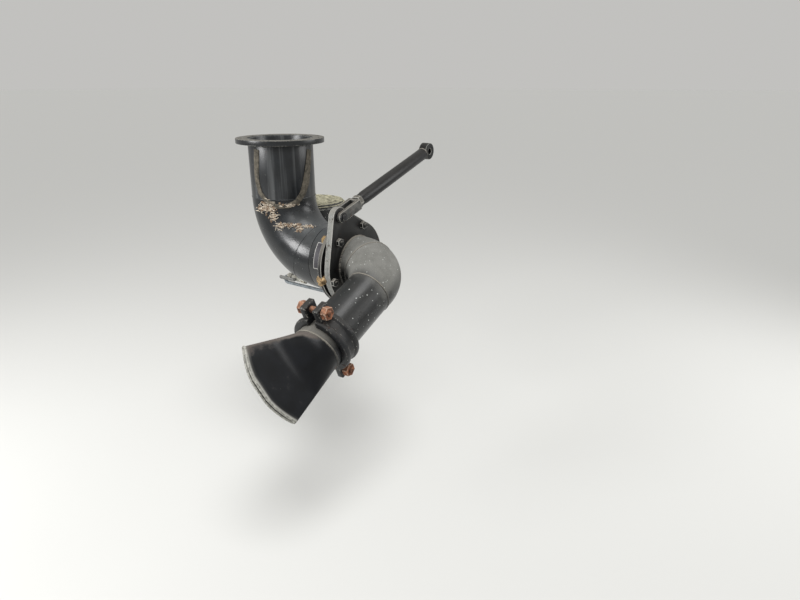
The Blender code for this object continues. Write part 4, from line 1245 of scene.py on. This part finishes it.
@dataclass
class SprayHead:
    """What turns on the sleeve: lever plate, ring, bolts, tapering elbow and grooved coupling."""

    plate_radius: float = 109.0 * MM
    nose_radius: float = 24.0 * MM
    pin_radius: float = 8.0 * MM
    bolt_circle: float = 99.0 * MM
    bolt_shank: float = 5.0 * MM
    bolt_flats: float = 9.5 * MM
    bolt_thick: float = 9.0 * MM
    bolts: int = 6
    first_bolt: float = 15.0
    muddy_bolt: int = 3              # counted from 0
    mud_lumps: int = 9
    sleeve_radius: float = 86.2 * MM
    head_radius: float = 70.6 * MM
    neck_radius: float = 57.15 * MM
    wall: float = 6.0 * MM
    corner: float = 343.0 * MM
    bend: float = 93.0 * MM
    bend_steps: int = 36
    near_weld: int = 11              # the step along the elbow that its first weld lies on
    end_gap: float = 1.5 * MM
    coupling_radius: float = 73.5 * MM
    coupling_width: float = 46.0 * MM
    split: float = 20.0 * MM
    pad_thick: float = 16.0 * MM
    pad_reach: float = 101.0 * MM
    pad_width: float = 36.0 * MM
    pad_bolt: float = 86.0 * MM
    pad_shank: float = 7.5 * MM
    pad_flats: float = 13.5 * MM
    pad_hex_thick: float = 14.0 * MM

    def bolt_places(self) -> list[Point]:
        """Return where the swivel's bolts pass, across the run."""
        turns = [math.radians(self.first_bolt + 360.0 * place / self.bolts) for place in range(self.bolts)]
        return [(self.bolt_circle * math.cos(turn), self.bolt_circle * math.sin(turn)) for turn in turns]

    def belt(self) -> list[Point]:
        """Return the lever plate's outline.

        Returns:
            Points as a belt lies round its disc and its nose.
        """
        pin = Vector((LEVER_PIN.y, LEVER_PIN.z - RUN.z))
        heading = math.atan2(pin.y, pin.x)
        lean = math.acos((self.plate_radius - self.nose_radius) / pin.length)
        disc = arc((0, 0), self.plate_radius, heading + lean, 2 * math.pi - 2 * lean, 64)
        return disc + arc((pin.x, pin.y), self.nose_radius, heading - lean, 2 * lean, 32)

    def plates(self) -> None:
        """Build the lever plate and the ring behind the collar."""
        low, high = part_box("lever_plate")
        holes = [circle(place, self.bolt_shank + FIT, 24) for place in self.bolt_places()]
        outlines = [
            self.belt(), circle((0, 0), self.head_radius + FIT),
            circle((LEVER_PIN.y, LEVER_PIN.z - RUN.z), self.pin_radius + FIT, 32), *holes,
        ]
        work = plate(outlines, high.x - low.x, across_run((low.x + high.x) / 2))
        work = roughened(soften(work, 1.8 * MM), 0.25 * MM, 6 * MM, SEED)
        lever = piece(
            "lever_plate_body", work, PLATE_ENAMEL, Body.HEAD, Slot.DUSTY_PAINT, "lever_plate",
        )
        refinish(lever, CUT_EDGE, lambda face: abs(face.normal.x) < 0.6)
        low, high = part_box("retaining_ring")
        outlines = [circle((0, 0), self.plate_radius), circle((0, 0), self.sleeve_radius + 0.8 * MM), *holes]
        work = soften(plate(outlines, high.x - low.x, across_run((low.x + high.x) / 2)), 1.2 * MM)
        piece("retaining_ring_body", work, PLATE_ENAMEL, Body.HEAD, Slot.DUSTY_PAINT, "retaining_ring")

    def swivel_bolts(self) -> None:
        """Build the bolts that clamp the plate and the ring round the collar."""
        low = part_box("retaining_ring")[0].x
        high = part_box("lever_plate")[1].x
        for index, (y, z) in enumerate(self.bolt_places(), start=1):
            middle = axis_frame(((low + high) / 2, y, RUN.z + z), ALONG)
            bolt = Fastener(middle, high - low, self.bolt_shank, self.bolt_flats, self.bolt_thick)
            name = f"swivel_bolt_{index}"
            work = roughened(bolt.shape(), 0.25 * MM, 3 * MM, SEED + index)
            made = piece(f"{name}_set", work, MUDDY_BOLT, Body.HEAD, Slot.RUSTY_STEEL, name)
            refinish(made, PLATE_ENAMEL, lambda face: face.center.x > high - 1 * MM)

    def thrown_mud(self) -> None:
        """Build the lump of ochre mud that a wheel has thrown up on an outer bolt."""
        chance = random.Random(SEED + 9)
        y, z = self.bolt_places()[self.muddy_bolt]
        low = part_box("retaining_ring")[0].x
        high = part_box("lever_plate")[0].x
        lumps = []
        for step in range(self.mud_lumps):
            size = chance.uniform(7.0, 12.5) * MM
            spot = Matrix.Translation((
                low + (high - low) * step / (self.mud_lumps - 1) - 4 * MM,
                y + chance.uniform(-9.0, 3.0) * MM, RUN.z + z + chance.uniform(-8.0, 8.0) * MM,
            ))
            lump = ball(size, spot, (0.9, 1.0, 0.8), 3)
            lumps.append(roughened(lump, 0.42 * size, 0.45 * size, SEED + 50 + step))
        piece("thrown_mud", merged(*lumps), OCHRE_MUD, Body.HEAD, Slot.DUSTY_PAINT)

    def elbow_places(self) -> tuple[list[Matrix], list[float]]:
        """Lay out the tapering elbow.

        Returns:
            The frames along it and its outside radius at each.
        """
        along = Vector(ALONG)
        level = along.cross(OUTLET)
        centre = Vector((self.corner - self.bend, 0, RUN.z)) + OUTLET * self.bend
        places = [axis_frame((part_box("lever_plate")[0].x, 0, RUN.z), along, level)]
        radii = [self.head_radius]
        for step in range(self.bend_steps + 1):
            share = step / self.bend_steps
            turn = math.pi / 2 * share
            spot = centre - OUTLET * (self.bend * math.cos(turn)) + along * (self.bend * math.sin(turn))
            places.append(axis_frame(spot, along * math.cos(turn) + OUTLET * math.sin(turn), level))
            radii.append(self.head_radius + (self.neck_radius - self.head_radius) * share * share)
        places.append(axis_frame(COUPLING - OUTLET * self.end_gap, OUTLET, level))
        return places, radii + [self.neck_radius]

    def elbow(self) -> None:
        """Build the tapering elbow, the weld at the plate and the two on the elbow."""
        places, radii = self.elbow_places()
        piece(
            "discharge_elbow_pipe", pipe(places, radii, self.wall), DISCHARGE_ENAMEL, Body.HEAD,
            Slot.DUSTY_PAINT, "discharge_elbow", angle=PIPE_ANGLE,
        )
        at_plate = axis_frame((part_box("lever_plate")[1].x, 0, RUN.z), ALONG)
        beads = (
            ("plate_weld", at_plate, self.head_radius, 4.5 * MM),
            ("elbow_weld_near", places[self.near_weld], radii[self.near_weld], 2.2 * MM),
            ("elbow_weld_far", places[-2], radii[-2], 2.4 * MM),
        )
        for name, place, radius, size in beads:
            work = WeldBead(place, radius, size).shape()
            piece(name, work, WELD_METAL, Body.HEAD, Slot.DUSTY_PAINT)

    def coupling(self) -> None:
        """Build the two halves of the grooved coupling, cut apart across the outlet."""
        half = self.coupling_width / 2
        room = self.neck_radius + 0.8 * MM
        rim = self.coupling_radius
        side_on = [
            (rim - 1.5 * MM, half), (rim, half - 5 * MM), (rim, half - 11 * MM),
            (rim - 4 * MM, half - 16 * MM),
        ]
        profile = side_on + [(radius, -height) for radius, height in reversed(side_on)]
        profile += [(room, -half), (room, half)]
        root = self.neck_radius + 2 * MM
        for label, side in (("front", -1), ("rear", 1)):
            work = spun(profile, Matrix(), closed=True)
            cut = bmesh.ops.bisect_plane(
                work, geom=work.verts[:] + work.edges[:] + work.faces[:], dist=WELD_DISTANCE,
                plane_co=(side * self.split / 2, 0, 0), plane_no=(-side, 0, 0), clear_outer=True,
            )["geom_cut"]
            bmesh.ops.holes_fill(work, edges=[item for item in cut if isinstance(item, BMEdge)])
            parts = [soften(work, 1.0 * MM, 2)]
            for end in (-1, 1):
                middle = (side * (self.split + self.pad_thick) / 2, end * (self.pad_reach + root) / 2, 0)
                size = (self.pad_thick, self.pad_reach - root, self.pad_width)
                parts.append(soften(block(size, Matrix.Translation(middle)), 3.0 * MM, 4))
            work = moved(merged(*parts), axis_frame(COUPLING, OUTLET))
            work = roughened(work, 0.3 * MM, 5 * MM, SEED + side)
            name = f"coupling_{label}"
            piece(f"{name}_half", work, CAST_IRON, Body.HEAD, Slot.DUSTY_PAINT, name)

    def coupling_bolts(self) -> None:
        """Build the two bolts that draw the coupling's halves together."""
        turn = Matrix.Rotation(math.pi / 2, 4, "Y")
        reach = self.split + 2 * self.pad_thick
        for label, end in (("lower", -1), ("upper", 1)):
            across = axis_frame(COUPLING, OUTLET) @ Matrix.Translation((0, end * self.pad_bolt, 0)) @ turn
            bolt = Fastener(across, reach, self.pad_shank, self.pad_flats, self.pad_hex_thick)
            work = roughened(bolt.shape(), 0.3 * MM, 4 * MM, SEED + 7 + end)
            name = f"coupling_bolt_{label}"
            piece(f"{name}_set", work, RUSTED_BOLT, Body.HEAD, Slot.RUSTY_STEEL, name)

    def build(self) -> None:
        """Build the whole head."""
        parts = (
            self.plates, self.swivel_bolts, self.thrown_mud, self.elbow, self.coupling, self.coupling_bolts,
        )
        for part in parts:
            part()


@dataclass
class FanNozzle:
    """The nozzle that turns in the coupling: a short neck and a fishtail that spreads to an arc."""

    neck_radius: float = 57.15 * MM
    neck_length: float = 36.0 * MM
    wall: float = 4.0 * MM
    end_gap: float = 1.5 * MM
    arc_along: float = -18.0 * MM
    arc_across: float = -15.0 * MM
    arc_radius: float = 178.0 * MM
    arc_from: float = -17.0
    arc_to: float = 47.0
    half_gap: float = 12.5 * MM
    neck_share: float = 0.55
    straight: float = 4.0 * MM
    roll: float = 45.0
    rounding: float = 0.35
    lip_radius: float = 2.7 * MM
    lip_width: float = 4.0 * MM
    lip_growth: float = 0.7
    lip_steps: int = 160
    worn_back: float = 5.0 * MM      # how far back from the mouth the paint is thin
    sections: int = 32

    def fan_point(self, turn: float, share: float, inset: float) -> Vector:
        """Return a point of the fan in the nozzle's own frame.

        Args:
            turn: The angle round the fan.
            share: The share along it, 0 at the neck and 1 at the mouth.
            inset: How far inside the outer skin the point lies.

        Returns:
            The point.
        """
        flat = min(1.0, share / self.neck_share)
        flat = flat * flat * (3 - 2 * flat)
        across = math.copysign(abs(math.cos(turn)) ** self.rounding, math.cos(turn))
        thick = math.copysign(abs(math.sin(turn)) ** self.rounding, math.sin(turn))
        middle = math.radians((self.arc_to + self.arc_from) / 2)
        reach = math.radians((self.arc_to - self.arc_from) / 2) - inset / self.arc_radius
        swing = middle + reach * across
        end_across = self.arc_across + self.arc_radius * math.sin(swing)
        end_along = self.arc_along + self.arc_radius * math.cos(swing)
        round_radius = self.neck_radius - inset
        return Vector((
            round_radius * math.cos(turn) * (1 - share) + end_across * share,
            round_radius * math.sin(turn) * (1 - flat) + (self.half_gap - inset) * thick * flat,
            self.straight + (end_along - self.straight) * share,
        ))

    def place(self) -> Matrix:
        """Return the frame where the fan starts, its local X across the slot."""
        start = COUPLING + OUTLET * (self.end_gap + self.neck_length + FIT)
        return axis_frame(start, OUTLET) @ Matrix.Rotation(math.radians(90.0 + self.roll), 4, "Z")

    def fan(self) -> None:
        """Build the fishtail, out along its skin, over its lips and back along its passage."""
        rows = [(0.0, 0.0)] + [(step / self.sections, 0.0) for step in range(self.sections + 1)]
        rows += [(share, self.wall) for share, _ in reversed(rows)]
        work = bmesh.new()
        bmesh.ops.create_circle(work, cap_ends=False, segments=SIDES, radius=1.0)
        ring, verts = work.edges[:], work.verts[:]
        for index, (share, inset) in enumerate(rows):
            if index:
                ring, verts = grown_ring(work, ring)
            ordered = sorted(verts, key=lambda vert: math.atan2(vert.co.y, vert.co.x))
            for step, vert in enumerate(ordered):
                turn = -math.pi + 2 * math.pi * (step + 0.5) / SIDES
                vert.co = self.fan_point(turn, share, inset)
                if index in (0, len(rows) - 1):
                    vert.co.z = 0.0
        self.wear_lips(rims_joined(work))
        work = moved(soften(work, 1.0 * MM, 3, 50.0), self.place())
        piece("fan_shell", work, NOZZLE_ENAMEL, Body.NOZZLE, Slot.NOZZLE_BLACK, "fan_nozzle", angle=50.0)

    def wear_lips(self, work: BMesh) -> None:
        """Note that the lips are bare, and that the paint near them is thin.

        Args:
            work: The fan, in the nozzle's own frame.
        """
        worn = work.loops.layers.float.new(WEAR)
        centre = Vector((self.arc_across, 0.0, self.arc_along))
        for face in work.faces:
            for loop in face.loops:
                spot = loop.vert.co - centre
                spot.y = 0.0
                short = self.arc_radius - spot.length
                loop[worn] = max(0.0, 1.0 - short / self.worn_back) if spot.z > 0.0 else 0.0

    def lips(self) -> None:
        """Build the rolled lip round the slot, which grit has scoured bare."""
        turns = [2 * math.pi * (step + 0.5) / self.lip_steps for step in range(self.lip_steps)]
        spots = [self.fan_point(turn, 1.0, self.lip_width) for turn in turns]
        work = bmesh.new()
        rings = []
        for turn, before, spot, after in zip(turns, spots[-1:] + spots[:-1], spots, spots[1:] + spots[:1]):
            grown = 1.0 + self.lip_growth * max(0.0, math.cos(turn)) ** 2
            oval = Matrix.Diagonal((self.lip_width * grown, self.lip_radius, 1.0, 1.0))
            place = axis_frame(spot, after - before) @ oval
            made = bmesh.ops.create_circle(work, cap_ends=False, segments=12, radius=1.0, matrix=place)
            rings.append([edge for edge in work.edges if set(edge.verts) <= set(made["verts"])])
        for ring, following in zip(rings, rings[1:] + rings[:1]):
            bmesh.ops.bridge_loops(work, edges=ring + following)
        work = roughened(facing_out(work, self.place()), 0.25 * MM, 9 * MM, SEED + 40)
        piece("fan_lips", work, SCOURED_STEEL, Body.NOZZLE, Slot.NOZZLE_BLACK, angle=80.0)

    def neck(self) -> None:
        """Build the neck and the weld that joins the fan to it."""
        start = COUPLING + OUTLET * self.end_gap
        places = [axis_frame(start + OUTLET * along, OUTLET) for along in (0.0, self.neck_length)]
        work = soften(pipe(places, [self.neck_radius] * 2, self.wall), 0.6 * MM, 2, PIPE_ANGLE)
        piece("nozzle_neck_pipe", work, HEAD_ENAMEL, Body.NOZZLE, Slot.DUSTY_PAINT, "nozzle_neck")
        bead = WeldBead(places[-1], self.neck_radius, 2.8 * MM)
        piece("nozzle_weld", bead.shape(), WELD_METAL, Body.NOZZLE, Slot.DUSTY_PAINT)

    def build(self) -> None:
        """Build the whole nozzle."""
        for part in (self.neck, self.fan, self.lips):
            part()


@dataclass
class AdjustingStrut:
    """The strut that holds the lever: fork, pin and stud, then lock nut, tube and eye."""

    fork_length: float = 75.5 * MM
    fork_width: float = 26.0 * MM
    cheek: float = 9.0 * MM
    slot_depth: float = 68.0 * MM
    slot_height: float = 17.6 * MM
    cheek_lap: float = 4.0 * MM      # how far the cheeks run into the fork's block
    pin_radius: float = 8.0 * MM
    overhang: float = 6.0 * MM
    stud_radius: float = 9.5 * MM
    stud_length: float = 150.0 * MM
    thread_pitch: float = 2.5 * MM
    thread_depth: float = 1.4 * MM
    nut_thick: float = 12.0 * MM
    nut_radius: float = 17.5 * MM
    tube_start: float = 90.5 * MM
    tube_radius: float = 16.5 * MM
    swage: float = 1.2 * MM
    eye_radius: float = 23.0 * MM
    eye_thick: float = 24.0 * MM
    eye_bore: float = 8.5 * MM

    def along(self, distance: float) -> Matrix:
        """Return a frame on the strut's line, its local Z from the pin to the eye."""
        return axis_frame(LEVER_PIN + STRUT_AXIS * distance, STRUT_AXIS, STRUT_AXIS.cross(Vector(ALONG)))

    def flat_frame(self, spot: Vector) -> Matrix:
        """Return a frame at a spot whose local X runs along the strut and local Z along the pin."""
        turn = Matrix.Rotation(math.atan2(STRUT_AXIS.z, STRUT_AXIS.y), 4, "Z")
        return across_run(spot.x) @ Matrix.Translation((spot.y, spot.z - RUN.z, 0)) @ turn

    def fork(self) -> None:
        """Build the fork from its two cheeks and the block that joins them."""
        half = self.fork_width / 2
        place = self.flat_frame(LEVER_PIN)
        end = self.slot_depth + self.cheek_lap
        outline = arc((0.0, 0.0), half, math.pi / 2, math.pi, 32) + [(end, -half), (end, half)]
        hole = circle((0, 0), self.pin_radius + FIT, 32)
        parts = []
        for side in (-1, 1):
            offset = Matrix.Translation((0, 0, side * (self.slot_height + self.cheek) / 2))
            parts.append(soften(plate([outline, hole], self.cheek, place @ offset), 1.0 * MM))
        length = self.fork_length - self.slot_depth
        middle = place @ Matrix.Translation((self.fork_length - length / 2, 0, 0))
        size = (length, self.fork_width, self.slot_height + 2 * self.cheek)
        parts.append(soften(block(size, middle), 1.0 * MM))
        work = roughened(merged(*parts), 0.2 * MM, 5 * MM, SEED + 20)
        piece("strut_fork_body", work, FORGED_STEEL, Body.FORK, Slot.WORN_STEEL, "strut_fork")

    def pin(self) -> None:
        """Build the pin with its rounded ends and its washer."""
        height = self.slot_height + 2 * self.cheek + 2 * self.overhang
        place = self.flat_frame(LEVER_PIN) @ Matrix.Translation((0, 0, -height / 2))
        work = soften(rod(self.pin_radius, 0.0, height, place, 32), 1.2 * MM)
        top = height - 2.6 * MM
        washer = hoop(self.pin_radius, self.pin_radius + 4 * MM, top - 2.4 * MM, top, place, 32)
        work = merged(work, washer)
        piece("lever_pin_body", work, CAST_IRON, Body.FORK, Slot.RUSTY_STEEL, "lever_pin")

    def stud(self) -> None:
        """Build the threaded stud that screws into the tube."""
        start = self.fork_length + FIT
        root = self.stud_radius - self.thread_depth
        turns = round(self.stud_length / self.thread_pitch)
        profile = thread(start, start + self.stud_length, turns, self.stud_radius, root, (root, FIT))
        work = spun(profile, self.along(0.0), 40)
        piece("strut_stud_thread", work, FORGED_STEEL, Body.FORK, Slot.WORN_STEEL, "strut_stud")

    def lock_nut(self) -> None:
        """Build the lock nut that jams against the tube."""
        outlines = [circle((0, 0), self.nut_radius, 6), circle((0, 0), self.stud_radius + FIT, 36)]
        middle = self.along(self.tube_start - FIT - self.nut_thick / 2)
        work = soften(plate(outlines, self.nut_thick, middle), 1.2 * MM, 2)
        piece("lock_nut_body", work, FORGED_STEEL, Body.STRUT, Slot.WORN_STEEL, "lock_nut")

    def tube(self) -> None:
        """Build the tube, swaged down a little at its threaded end."""
        low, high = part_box("strut_tube")
        length = (high.y - low.y - 2 * self.tube_radius * STRUT_AXIS.z) / STRUT_AXIS.y
        stations = ((0.0, self.swage), (14 * MM, self.swage), (20 * MM, 0.0), (length, 0.0))
        places = [self.along(self.tube_start + distance) for distance, _ in stations]
        radii = [self.tube_radius - step for _, step in stations]
        wall = self.tube_radius - self.stud_radius - 1.6 * MM
        work = soften(pipe(places, radii, wall, 64), 0.6 * MM, 2, PIPE_ANGLE)
        piece(
            "strut_tube_body", work, STRUT_ENAMEL, Body.STRUT, Slot.STRUT_BLACK, "strut_tube", angle=50.0,
        )

    def eye(self) -> None:
        """Build the eye at the far end, welded to the tube."""
        low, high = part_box("strut_eye")
        middle = (low + high) / 2
        outlines = [circle((0, 0), self.eye_radius), circle((0, 0), self.eye_bore, 48)]
        work = soften(plate(outlines, self.eye_thick, self.flat_frame(middle)), 1.2 * MM)
        piece("strut_eye_body", work, STRUT_ENAMEL, Body.STRUT, Slot.STRUT_BLACK, "strut_eye")
        spot = middle - STRUT_AXIS * (self.eye_radius - 1.0 * MM)
        bead = WeldBead(axis_frame(spot, STRUT_AXIS), self.tube_radius - 1.0 * MM, 3.0 * MM, 3.5 * MM)
        piece("strut_eye_weld", bead.shape(), WELD_METAL, Body.STRUT, Slot.STRUT_BLACK)

    def build(self) -> None:
        """Build the whole strut."""
        for part in (self.fork, self.pin, self.stud, self.lock_nut, self.tube, self.eye):
            part()


@dataclass
class Studio:
    """Pale floor, soft lamps and the camera at the photograph's viewing angle."""

    camera_spot: tuple[float, float, float] = (1.128, -1.126, 0.1296)
    heading: tuple[float, float, float] = (-0.555, 0.832, 0.0)
    pitch: float = 20.5
    lens: float = 25.97
    sensor: float = 36.0
    floor_drop: float = 0.30
    floor_size: float = 120.0
    floor_colour: str = "#d6d6d3"
    sky_power: float = 1.75
    sky_spread: float = 35.0
    backdrop: str = "#f5f4f1"
    backdrop_light: float = 0.24     # its strength as a light
    backdrop_seen: float = 0.59      # its strength as the camera and mirrors see it

    def view(self) -> tuple[Vector, Vector]:
        """Return the way that the camera looks, and its upper side.

        Returns:
            Two directions at a right angle.
        """
        level, tilt = Vector(self.heading).normalized(), math.radians(self.pitch)
        forward = level * math.cos(tilt) - Vector(UP) * math.sin(tilt)
        return forward, level * math.sin(tilt) + Vector(UP) * math.cos(tilt)

    def camera(self) -> None:
        """Place the camera."""
        forward, up = self.view()
        lens = bpy.data.cameras.new("camera")
        lens.lens = self.lens
        lens.sensor_width = self.sensor
        lens.clip_start = 0.01
        bpy.context.scene.camera = shown("camera", lens, axis_frame(self.camera_spot, -forward, up))

    def floor(self) -> None:
        """Lay the matt pale floor below the part, which hangs above it from its mount."""
        pale = bpy.data.materials.new("matt pale floor")
        pale.use_nodes = True
        inputs = {"Base Color": linear(self.floor_colour), "Roughness": 0.9}
        fill(pale.node_tree.nodes["Principled BSDF"], inputs)
        place = Matrix.Translation((0, 0, CAD_BOX[0].z - self.floor_drop))
        work = bmesh.new()
        bmesh.ops.create_grid(work, x_segments=1, y_segments=1, size=self.floor_size, matrix=place)
        mesh = mesh_of(work, "floor")
        mesh.materials.append(pale)
        ground = shown("floor", mesh)

    def lamp(self, name: str, spot: tuple[float, float, float], size: float, power: float) -> None:
        """Hang a square soft lamp that looks at the part.

        Args:
            name: Its name.
            spot: Where it hangs.
            size: Its side.
            power: Its power in watts.
        """
        light = bpy.data.lights.new(name, "AREA")
        light.size = size
        light.energy = power
        shown(name, light, axis_frame(spot, Vector(spot) - (CAD_BOX[0] + CAD_BOX[1]) / 2))

    def sky(self) -> None:
        """Hang the broad overhead light that falls evenly on the part and the floor."""
        light = bpy.data.lights.new("sky light", "SUN")
        light.energy = self.sky_power
        light.angle = math.radians(self.sky_spread)
        shown("sky light", light, axis_frame((0, 0, 2), (0.20, -0.10, 1.0), INWARD))

    def world(self) -> None:
        """Light the part softly from all round and show a pale background behind it."""
        world = bpy.data.worlds.new("studio")
        world.use_nodes = True
        graph = Graph(world.node_tree)
        path = add_node(graph.tree, "ShaderNodeLightPath", {}).outputs
        seen = graph.maths("MAXIMUM", path["Is Camera Ray"], path["Is Glossy Ray"])
        strength = graph.ranged(seen, self.backdrop_light, self.backdrop_seen)
        fill(graph.tree.nodes["Background"], {"Color": linear(self.backdrop), "Strength": strength})
        bpy.context.scene.world = world

    def build(self) -> None:
        """Set up the whole studio."""
        bpy.context.scene.view_settings.view_transform = "Standard"
        self.camera()
        self.floor()
        self.sky()
        self.lamp("gloss lamp", (-0.85, -1.78, 0.45), 0.8, 32.0)
        self.lamp("front lamp", (1.4, -1.5, 1.3), 0.9, 9.0)
        self.lamp("back lamp", (1.7, 1.2, 0.5), 1.0, 14.0)
        self.world()


@dataclass
class RoadDebris:
    """Straw, dried mud and a strap on the supply pipe, where the photograph shows them."""

    studio: Studio
    straws: int = 190
    clods: int = 100
    strap_lift: float = 0.6 * MM
    strap_thick: float = 1.6 * MM
    # The strap's course: pixels of the 800 x 600 photograph, and half its width in millimetres
    strap_path: tuple[tuple[float, float, float], ...] = (
        (256.5, 149.5, 9.0), (256.5, 158.0, 9.0), (256.5, 170.0, 9.0), (257.5, 182.0, 8.5),
        (260.5, 193.0, 7.5), (266.5, 201.0, 6.5), (276.0, 206.5, 6.0), (287.0, 206.5, 6.0),
        (297.0, 202.0, 7.5), (303.0, 193.0, 10.0), (306.0, 182.0, 12.0), (307.5, 170.0, 12.0),
        (308.5, 158.0, 11.0), (309.0, 149.5, 11.0),
    )
    # The heaps: a pixel of the photograph, and how wide and high each spreads in pixels
    heaps: tuple[tuple[float, float, float, float], ...] = (
        (267.0, 206.0, 6.0, 5.0), (271.0, 210.0, 6.0, 6.0), (262.0, 209.0, 5.0, 3.0),
        (274.0, 217.0, 4.0, 4.0), (281.0, 226.0, 4.0, 3.0), (292.0, 225.5, 9.0, 1.8),
        (299.5, 228.0, 3.0, 3.0), (290.0, 205.5, 9.0, 2.0), (309.0, 226.5, 6.0, 0.8),
    )

    @cached_property
    def trees(self) -> list[BVHTree]:
        """The search trees of the pieces that things lie on."""
        found = []
        for name in ("supply_elbow_pipe", "supply_leg_pipe"):
            mesh = bpy.data.objects[name].data
            corners = [vert.co for vert in mesh.vertices]
            found.append(BVHTree.FromPolygons(corners, [face.vertices for face in mesh.polygons]))
        return found

    def caught_on(self, pixel: Point) -> tuple[Vector, Vector]:
        """Return where a pixel of the 800 x 600 photograph lies on the supply pipe.

        Args:
            pixel: The pixel, from the photograph's top left.

        Returns:
            The point on the pipe and the surface's normal there.
        """
        forward, up = self.studio.view()
        focal = 800 * self.studio.lens / self.studio.sensor
        ray = forward + forward.cross(up) * ((pixel[0] - 400) / focal) - up * ((pixel[1] - 300) / focal)
        start = Vector(self.studio.camera_spot)
        found = [tree.ray_cast(start, ray.normalized()) for tree in self.trees]
        met = [hit for hit in found if hit[0] is not None]
        if not met:
            raise ValueError(f"pixel {pixel} doesn't lie on the supply pipe")
        return min(met, key=lambda hit: hit[3])[:2]

    def strap(self) -> None:
        """Lay the dusty strap that hangs in a loop against the pipe."""
        held = [(*self.caught_on((x, y)), half * MM) for x, y, half in self.strap_path]
        spots = [spot + normal * self.strap_lift for spot, normal, _ in held]
        headings = [after - before for before, after in zip(spots[:1] + spots, spots[1:] + spots[-1:])]
        places = [
            axis_frame(spot, heading, normal) @ Matrix.Diagonal((half, self.strap_thick, 1.0, 1.0))
            for spot, heading, (_, normal, half) in zip(spots, headings, held)
        ]
        work = swept(places, [1.0] * len(places), 16, capped=True)
        piece("hanging_strap", work, DUSTY_STRAP, Body.SUPPLY, Slot.DUSTY_PAINT)

    def straw(self, spot: Vector, normal: Vector, length: float, chance: random.Random) -> BMesh:
        """Return one bent stalk that lies near a spot.

        Args:
            spot: The middle of the stalk's foot.
            normal: The surface's normal there.
            length: The stalk's length.
            chance: The source of its lean and bend.

        Returns:
            The stalk.
        """
        lean = Vector((chance.gauss(0, 1), chance.gauss(0, 1), chance.gauss(0, 0.35)))
        along = (lean - normal * lean.dot(normal) * 0.8).normalized()
        bend = Vector((chance.gauss(0, 1), chance.gauss(0, 1), chance.gauss(0, 1))) * 0.25
        points = [
            spot + along * (length * step / 2) + bend * (length * step * step / 4) + normal * 1.5 * MM
            for step in (-1.0, -0.35, 0.3, 1.0)
        ]
        headings = [after - before for before, after in zip(points, points[1:])]
        headings.append(headings[-1])
        places = [axis_frame(point, heading, normal) for point, heading in zip(points, headings)]
        thick = chance.uniform(0.5, 1.1) * MM
        return swept(places, [thick, thick * 0.95, thick * 0.8, thick * 0.4], 5, capped=True)

    def clod(self, spot: Vector, normal: Vector, chance: random.Random) -> BMesh:
        """Return one clod that lies on a spot of that normal.

        Args:
            spot: Where it lies.
            normal: The surface's normal there.
            chance: The source of its size and shape.

        Returns:
            The clod.
        """
        size = chance.uniform(1.5, 4.5) * MM
        place = axis_frame(spot, normal, (chance.random(), 1, 0.3))
        return roughened(ball(size, place, (1.0, 0.8, 0.6), 2), 0.5 * size, size, chance.randrange(1000))

    def build(self) -> None:
        """Lay the straw and the clods along the elbow's upper edge, and the strap."""
        chance = random.Random(SEED)
        stalks = []
        clods = []
        for x, y, wide, high in self.heaps:
            for _ in range(self.straws // len(self.heaps)):
                pixel = (x + chance.gauss(0, wide / 2), y + chance.gauss(0, high / 2))
                length = chance.uniform(6, 9 + 2.6 * high) * MM
                stalks.append(self.straw(*self.caught_on(pixel), length, chance))
            for _ in range(self.clods // len(self.heaps)):
                pixel = (x + chance.gauss(0, wide / 2), y + chance.gauss(0, high / 2))
                clods.append(self.clod(*self.caught_on(pixel), chance))
        self.strap()
        piece("caught_straw", merged(*stalks), STRAW, Body.SUPPLY, Slot.DUSTY_PAINT)
        piece("caught_mud", merged(*clods), DRIED_MUD, Body.SUPPLY, Slot.DUSTY_PAINT)


def main() -> None:
    """Build every sub-assembly in order."""
    logging.basicConfig(level=logging.INFO, format="%(name)s: %(message)s")
    studio = Studio()
    parts = (
        studio, SupplySide(), DrainCock(), SprayHead(), FanNozzle(), AdjustingStrut(), RoadDebris(studio),
    )
    for part in parts:
        LOG.info("building %s", type(part).__name__)
        part.build()


if __name__ == "__main__":
    main()
